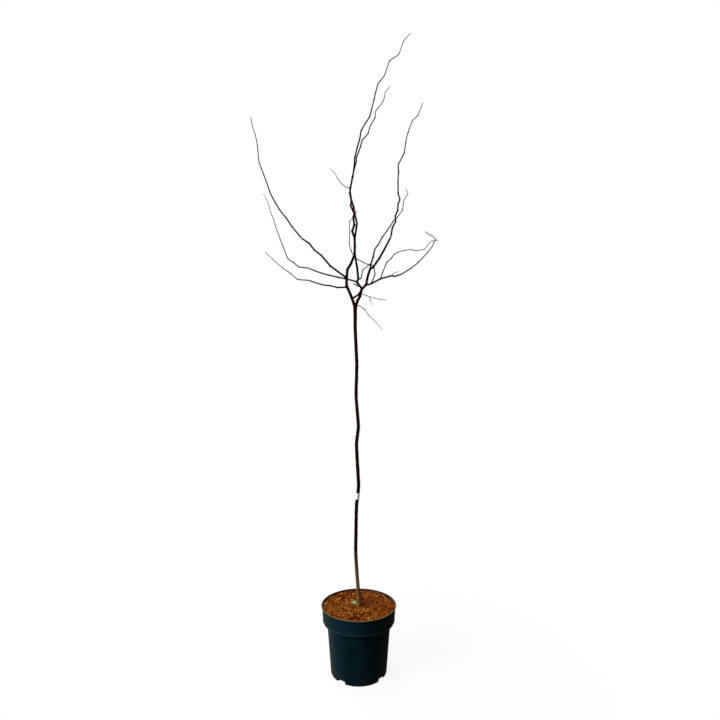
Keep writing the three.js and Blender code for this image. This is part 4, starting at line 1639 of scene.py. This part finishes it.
# ---- Operators ----
class REDBUD_OT_add_stage(bpy.types.Operator):
    """Adds the floor, the light and the camera"""

    bl_idname = "redbud.add_stage"
    bl_label = "Add stage"

    def execute(self, context):
        settings = context.scene.redbud_stage
        self.add_world(context.scene)
        self.add_floor(settings)
        for box in SOFT_BOXES:
            self.add_light(box, settings.key_power)
        self.add_camera(context.scene, settings.camera_distance)
        context.scene.view_settings.view_transform = "Standard"
        return {"FINISHED"}

    def add_world(self, scene):
        """A white surround that lights the object less than it shows."""
        world = bpy.data.worlds.new("studio")
        scene.world = world
        world.use_nodes = True
        network = Network(world.node_tree)
        seen = network.node("ShaderNodeLightPath", output="Is Camera Ray")
        direction = network.node("ShaderNodeTexCoord", output="Generated")
        left = network.step(-1 * network.part(direction, "X"), *LEFT_EDGE)
        behind = network.step(network.part(direction, "Y"), *BACK_EDGE)
        background = world.node_tree.nodes["Background"]
        glow = BACK_GLOW * left * behind * (1 - seen)
        network.feed(background.inputs["Color"], network.mix(seen, BACK_TINT, WHITE))
        network.feed(background.inputs["Strength"], SURROUND_LIGHT + glow + (1 - SURROUND_LIGHT) * seen)

    def add_floor(self, settings):
        """A wide pale floor that fades into the surround, and casts none of its light back."""
        floor = fresh(bpy.ops.mesh.primitive_circle_add, vertices=96, radius=FLOOR_RADIUS, fill_type="NGON")
        floor.name = "floor"
        finish = Finish("floor", Roughness=0.9, Specular_IOR_Level=0.1)
        away = finish.length(finish.place)
        finish.feed(finish.shader.inputs["Base Color"], opaque(settings.floor))
        glow = finish.node("ShaderNodeEmission", None, {"Color": opaque(WHITE)})
        shader = Wire(finish, finish.shader.outputs[0])
        share = FLOOR_GLOW + (1 - FLOOR_GLOW) * finish.step(away, *FLOOR_FADE)
        faded = finish.node("ShaderNodeMixShader", None, {0: share, 1: shader, 2: glow})
        finish.feed(finish.nodes["Material Output"].inputs["Surface"], faded)
        floor.data.materials.append(finish.material)
        floor.visible_diffuse = False
        floor.visible_glossy = False

    def add_light(self, box, power):
        """A soft panel of light that faces a place."""
        light = bpy.data.lights.new(box.name, "AREA")
        light.shape = "RECTANGLE"
        light.size = box.width
        light.size_y = box.height
        light.energy = box.share * power
        lamp = bpy.data.objects.new(box.name, light)
        lamp.location = box.place
        facing = Vector(box.target) - Vector(box.place)
        lamp.rotation_euler = facing.to_track_quat("-Z", "Y").to_euler()
        bpy.context.collection.objects.link(lamp)

    def add_camera(self, scene, distance):
        """A camera in front of the trunk's lower half, tilted up a little."""
        lens = bpy.data.cameras.new("camera")
        lens.sensor_width = SENSOR_WIDTH
        lens.lens = FOCAL_LENGTH
        camera = bpy.data.objects.new("camera", lens)
        camera.location = (CAMERA_SIDE, -distance, CAMERA_HEIGHT)
        camera.rotation_euler = (math.pi / 2 + CAMERA_PITCH, 0, 0)
        bpy.context.collection.objects.link(camera)
        scene.camera = camera


class REDBUD_OT_add_pot(bpy.types.Operator):
    """Adds the nursery pot"""

    bl_idname = "redbud.add_pot"
    bl_label = "Add pot"

    def execute(self, context):
        pot = model_pot(context.scene.redbud_pot.sides)
        dress(pot, "pot_shell", plastic_finish(), "pot_plastic", "pot", crease=42)
        return {"FINISHED"}


class REDBUD_OT_add_mulch_bed(bpy.types.Operator):
    """Adds the compost that fills the pot"""

    bl_idname = "redbud.add_mulch_bed"
    bl_label = "Add compost"

    def execute(self, _context):
        dress(model_bed(), "mulch_bed", compost_finish(), "mulch", "mulch_fill", crease=50)
        return {"FINISHED"}


class REDBUD_OT_add_mulch_chips(bpy.types.Operator):
    """Strews chips and crumbs of bark over the compost, one piece for each tone"""

    bl_idname = "redbud.add_mulch_chips"
    bl_label = "Add bark mulch"

    def execute(self, context):
        settings = context.scene.redbud_mulch
        length = settings.chip_length / MM
        flakes = [chip_shape(seed) for seed in range(1, CHIP_SHAPES + 1)]
        lumps = [rough_lump(CRUMB_ROUGHNESS, seed) for seed in range(1, CHIP_SHAPES + 1)]
        chips = scatter(flakes, settings.chips, length, settings.seed)
        crumbs = scatter(lumps, settings.crumbs, CRUMB_LENGTH * length, settings.seed + 1, CRUMB_PARTS)
        for tone in CHIP_TONES:
            for kind, heaps in (("chips", chips), ("crumbs", crumbs)):
                dress(piece_of(heaps[tone]), f"{kind}_{tone}", chip_finish(tone), "mulch", crease=0)
        dress(model_scrap(), "leaf_scrap", scrap_finish(), "mulch")
        return {"FINISHED"}


class REDBUD_OT_add_trunk(bpy.types.Operator):
    """Adds the trunk's bark"""

    bl_idname = "redbud.add_trunk"
    bl_label = "Add trunk"

    def execute(self, context):
        depth = context.scene.redbud_bark.relief / MM
        shape = bent_rod(
            LINES["trunk"], limb_radius("trunk"), TRUNK_SIDES, TRUNK_STEP, trunk_relief(depth),
            CUT_ROUND, FORK_ROUND,
        )
        dress(piece_of([shape]), "trunk_bark", bark_finish(), "bark", "trunk")
        return {"FINISHED"}


class REDBUD_OT_add_tape(bpy.types.Operator):
    """Winds the marker tape round the trunk"""

    bl_idname = "redbud.add_tape"
    bl_label = "Add tape"

    def execute(self, _context):
        dress(model_tape(), "tape_wrap", tape_finish(), "tape", "trunk_tape", crease=40)
        return {"FINISHED"}


class REDBUD_OT_add_boughs(bpy.types.Operator):
    """Adds the bark of every bough"""

    bl_idname = "redbud.add_boughs"
    bl_label = "Add boughs"

    def execute(self, context):
        depth = context.scene.redbud_bark.relief / MM
        for limb in BOUGHS:
            relief = bark_relief(limb.name, depth, NODE_SWELL)
            shape = bent_rod(
                LINES[limb.name], limb_radius(limb.name), BOUGH_SIDES, BOUGH_STEP, relief,
                BURIED_ROUND if limb.on == "trunk" else math.inf,
            )
            dress(piece_of([shape]), f"{limb.name}_bark", bark_finish(), "bark", limb.name)
        return {"FINISHED"}


class REDBUD_OT_add_twigs(bpy.types.Operator):
    """Adds every mass of twigs: its stem, its side twigs and its spurs"""

    bl_idname = "redbud.add_twigs"
    bl_label = "Add twigs"

    def execute(self, context):
        settings = context.scene.redbud_twigs
        depth = TWIG_RELIEF * context.scene.redbud_bark.relief / MM
        growth = grow(settings.spur_chance, settings.seed)
        for limb in MASSES:
            relief = bark_relief(limb.name, depth, TWIG_SWELL)
            shapes = [bent_rod(LINES[limb.name], limb_radius(limb.name), STEM_SIDES, STEM_STEP, relief)]
            shapes += [self.twig_shape(twig) for twig in growth[limb.name].values()]
            dress(piece_of(shapes), f"{limb.name}_bark", twig_finish(), "twig_bark", limb.name)
        return {"FINISHED"}

    def twig_shape(self, twig):
        """A side twig that thins from its foot, with a swollen foot and one faint node."""
        length = twig.line.length
        foot, fade = TWIG_FOOT
        node, place, width = TWIG_NODE

        def radius_at(distance):
            taper = twig.radius * (1 - TWIG_TAPER * np.clip(distance / length, 0, 1))
            swollen = foot * np.exp(-distance / fade)
            return taper + swollen + node * hump(distance - place * length, width)

        return bent_rod(twig.line, radius_at, TWIG_SIDES, TWIG_STEP)


class REDBUD_OT_add_buds(bpy.types.Operator):
    """Adds leaf buds, end buds and clusters of flower buds"""

    bl_idname = "redbud.add_buds"
    bl_label = "Add buds"

    def execute(self, context):
        settings = context.scene.redbud_twigs
        length = settings.bud_length / MM
        growth = grow(settings.spur_chance, settings.seed)
        stream = seeded_stream(settings.seed + 1)
        bough_buds = []
        for limb in BOUGHS:
            for site in sites_of(limb.name):
                if next(stream) < settings.cluster_chance:
                    bough_buds += cluster_at(site, length, stream)
                else:
                    bough_buds += bud_at(site, BOUGH_BUD_SIZE * length, stream)
        twig_buds = []
        for limb in MASSES:
            taken = growth[limb.name]
            for site in sites_of(limb.name):
                if site.node not in taken:
                    twig_buds += bud_at(site, length, stream)
            for twig in (*taken.values(), Twig(LINES[limb.name], limb.tip)):
                twig_buds.append(self.end_bud(twig, length))
        for name, buds in (("bough_buds", bough_buds), ("twig_buds", twig_buds)):
            piece = piece_of([bud for bud in buds if is_held(bud)])
            dress(piece, name, bud_finish(), "twig_bark", crease=50)
        return {"FINISHED"}

    def end_bud(self, twig, length):
        """The bud at a twig's tip, which ends where the twig's own space ends."""
        line = twig.line
        size = min(END_BUD_SIZE * length, END_BUD_MOST * line.length)
        least, share = END_BUD_WIDTH
        direction = line.direction(1 - TANGENT_NUDGE)
        foot = line.nodes[-1] - direction * size
        return set_bud(foot, direction, sideways(direction, 0), 0, size, max(least, share * twig.radius))


OPERATORS = (
    REDBUD_OT_add_stage,
    REDBUD_OT_add_pot,
    REDBUD_OT_add_mulch_bed,
    REDBUD_OT_add_mulch_chips,
    REDBUD_OT_add_trunk,
    REDBUD_OT_add_tape,
    REDBUD_OT_add_boughs,
    REDBUD_OT_add_twigs,
    REDBUD_OT_add_buds,
)

SETTINGS = {
    "redbud_pot": PotSettings,
    "redbud_mulch": MulchSettings,
    "redbud_bark": BarkSettings,
    "redbud_twigs": TwigSettings,
    "redbud_stage": StageSettings,
}


class REDBUD_PT_tree(bpy.types.Panel):
    """The tree's pieces and what may be changed on them"""

    bl_idname = "REDBUD_PT_tree"
    bl_label = "Redbud"
    bl_space_type = "VIEW_3D"
    bl_region_type = "UI"
    bl_category = "Redbud"

    def draw(self, context):
        for name, group in SETTINGS.items():
            box = self.layout.box()
            for setting in group.__annotations__:
                box.prop(getattr(context.scene, name), setting)
        for operator in OPERATORS:
            self.layout.operator(operator.bl_idname)


def register():
    """Registers the settings, the operators and the panel."""
    for name, group in SETTINGS.items():
        bpy.utils.register_class(group)
        setattr(bpy.types.Scene, name, PointerProperty(type=group))
    for operator in OPERATORS:
        bpy.utils.register_class(operator)
    bpy.utils.register_class(REDBUD_PT_tree)


def unregister():
    """Takes the panel, the operators and the settings away again."""
    bpy.utils.unregister_class(REDBUD_PT_tree)
    for operator in reversed(OPERATORS):
        bpy.utils.unregister_class(operator)
    for name, group in reversed(SETTINGS.items()):
        delattr(bpy.types.Scene, name)
        bpy.utils.unregister_class(group)


def main():
    """Builds the stage and every piece."""
    register()
    bpy.ops.redbud.add_stage()
    bpy.ops.redbud.add_pot()
    bpy.ops.redbud.add_mulch_bed()
    bpy.ops.redbud.add_mulch_chips()
    bpy.ops.redbud.add_trunk()
    bpy.ops.redbud.add_tape()
    bpy.ops.redbud.add_boughs()
    bpy.ops.redbud.add_twigs()
    bpy.ops.redbud.add_buds()


if __name__ == "__main__":
    main()
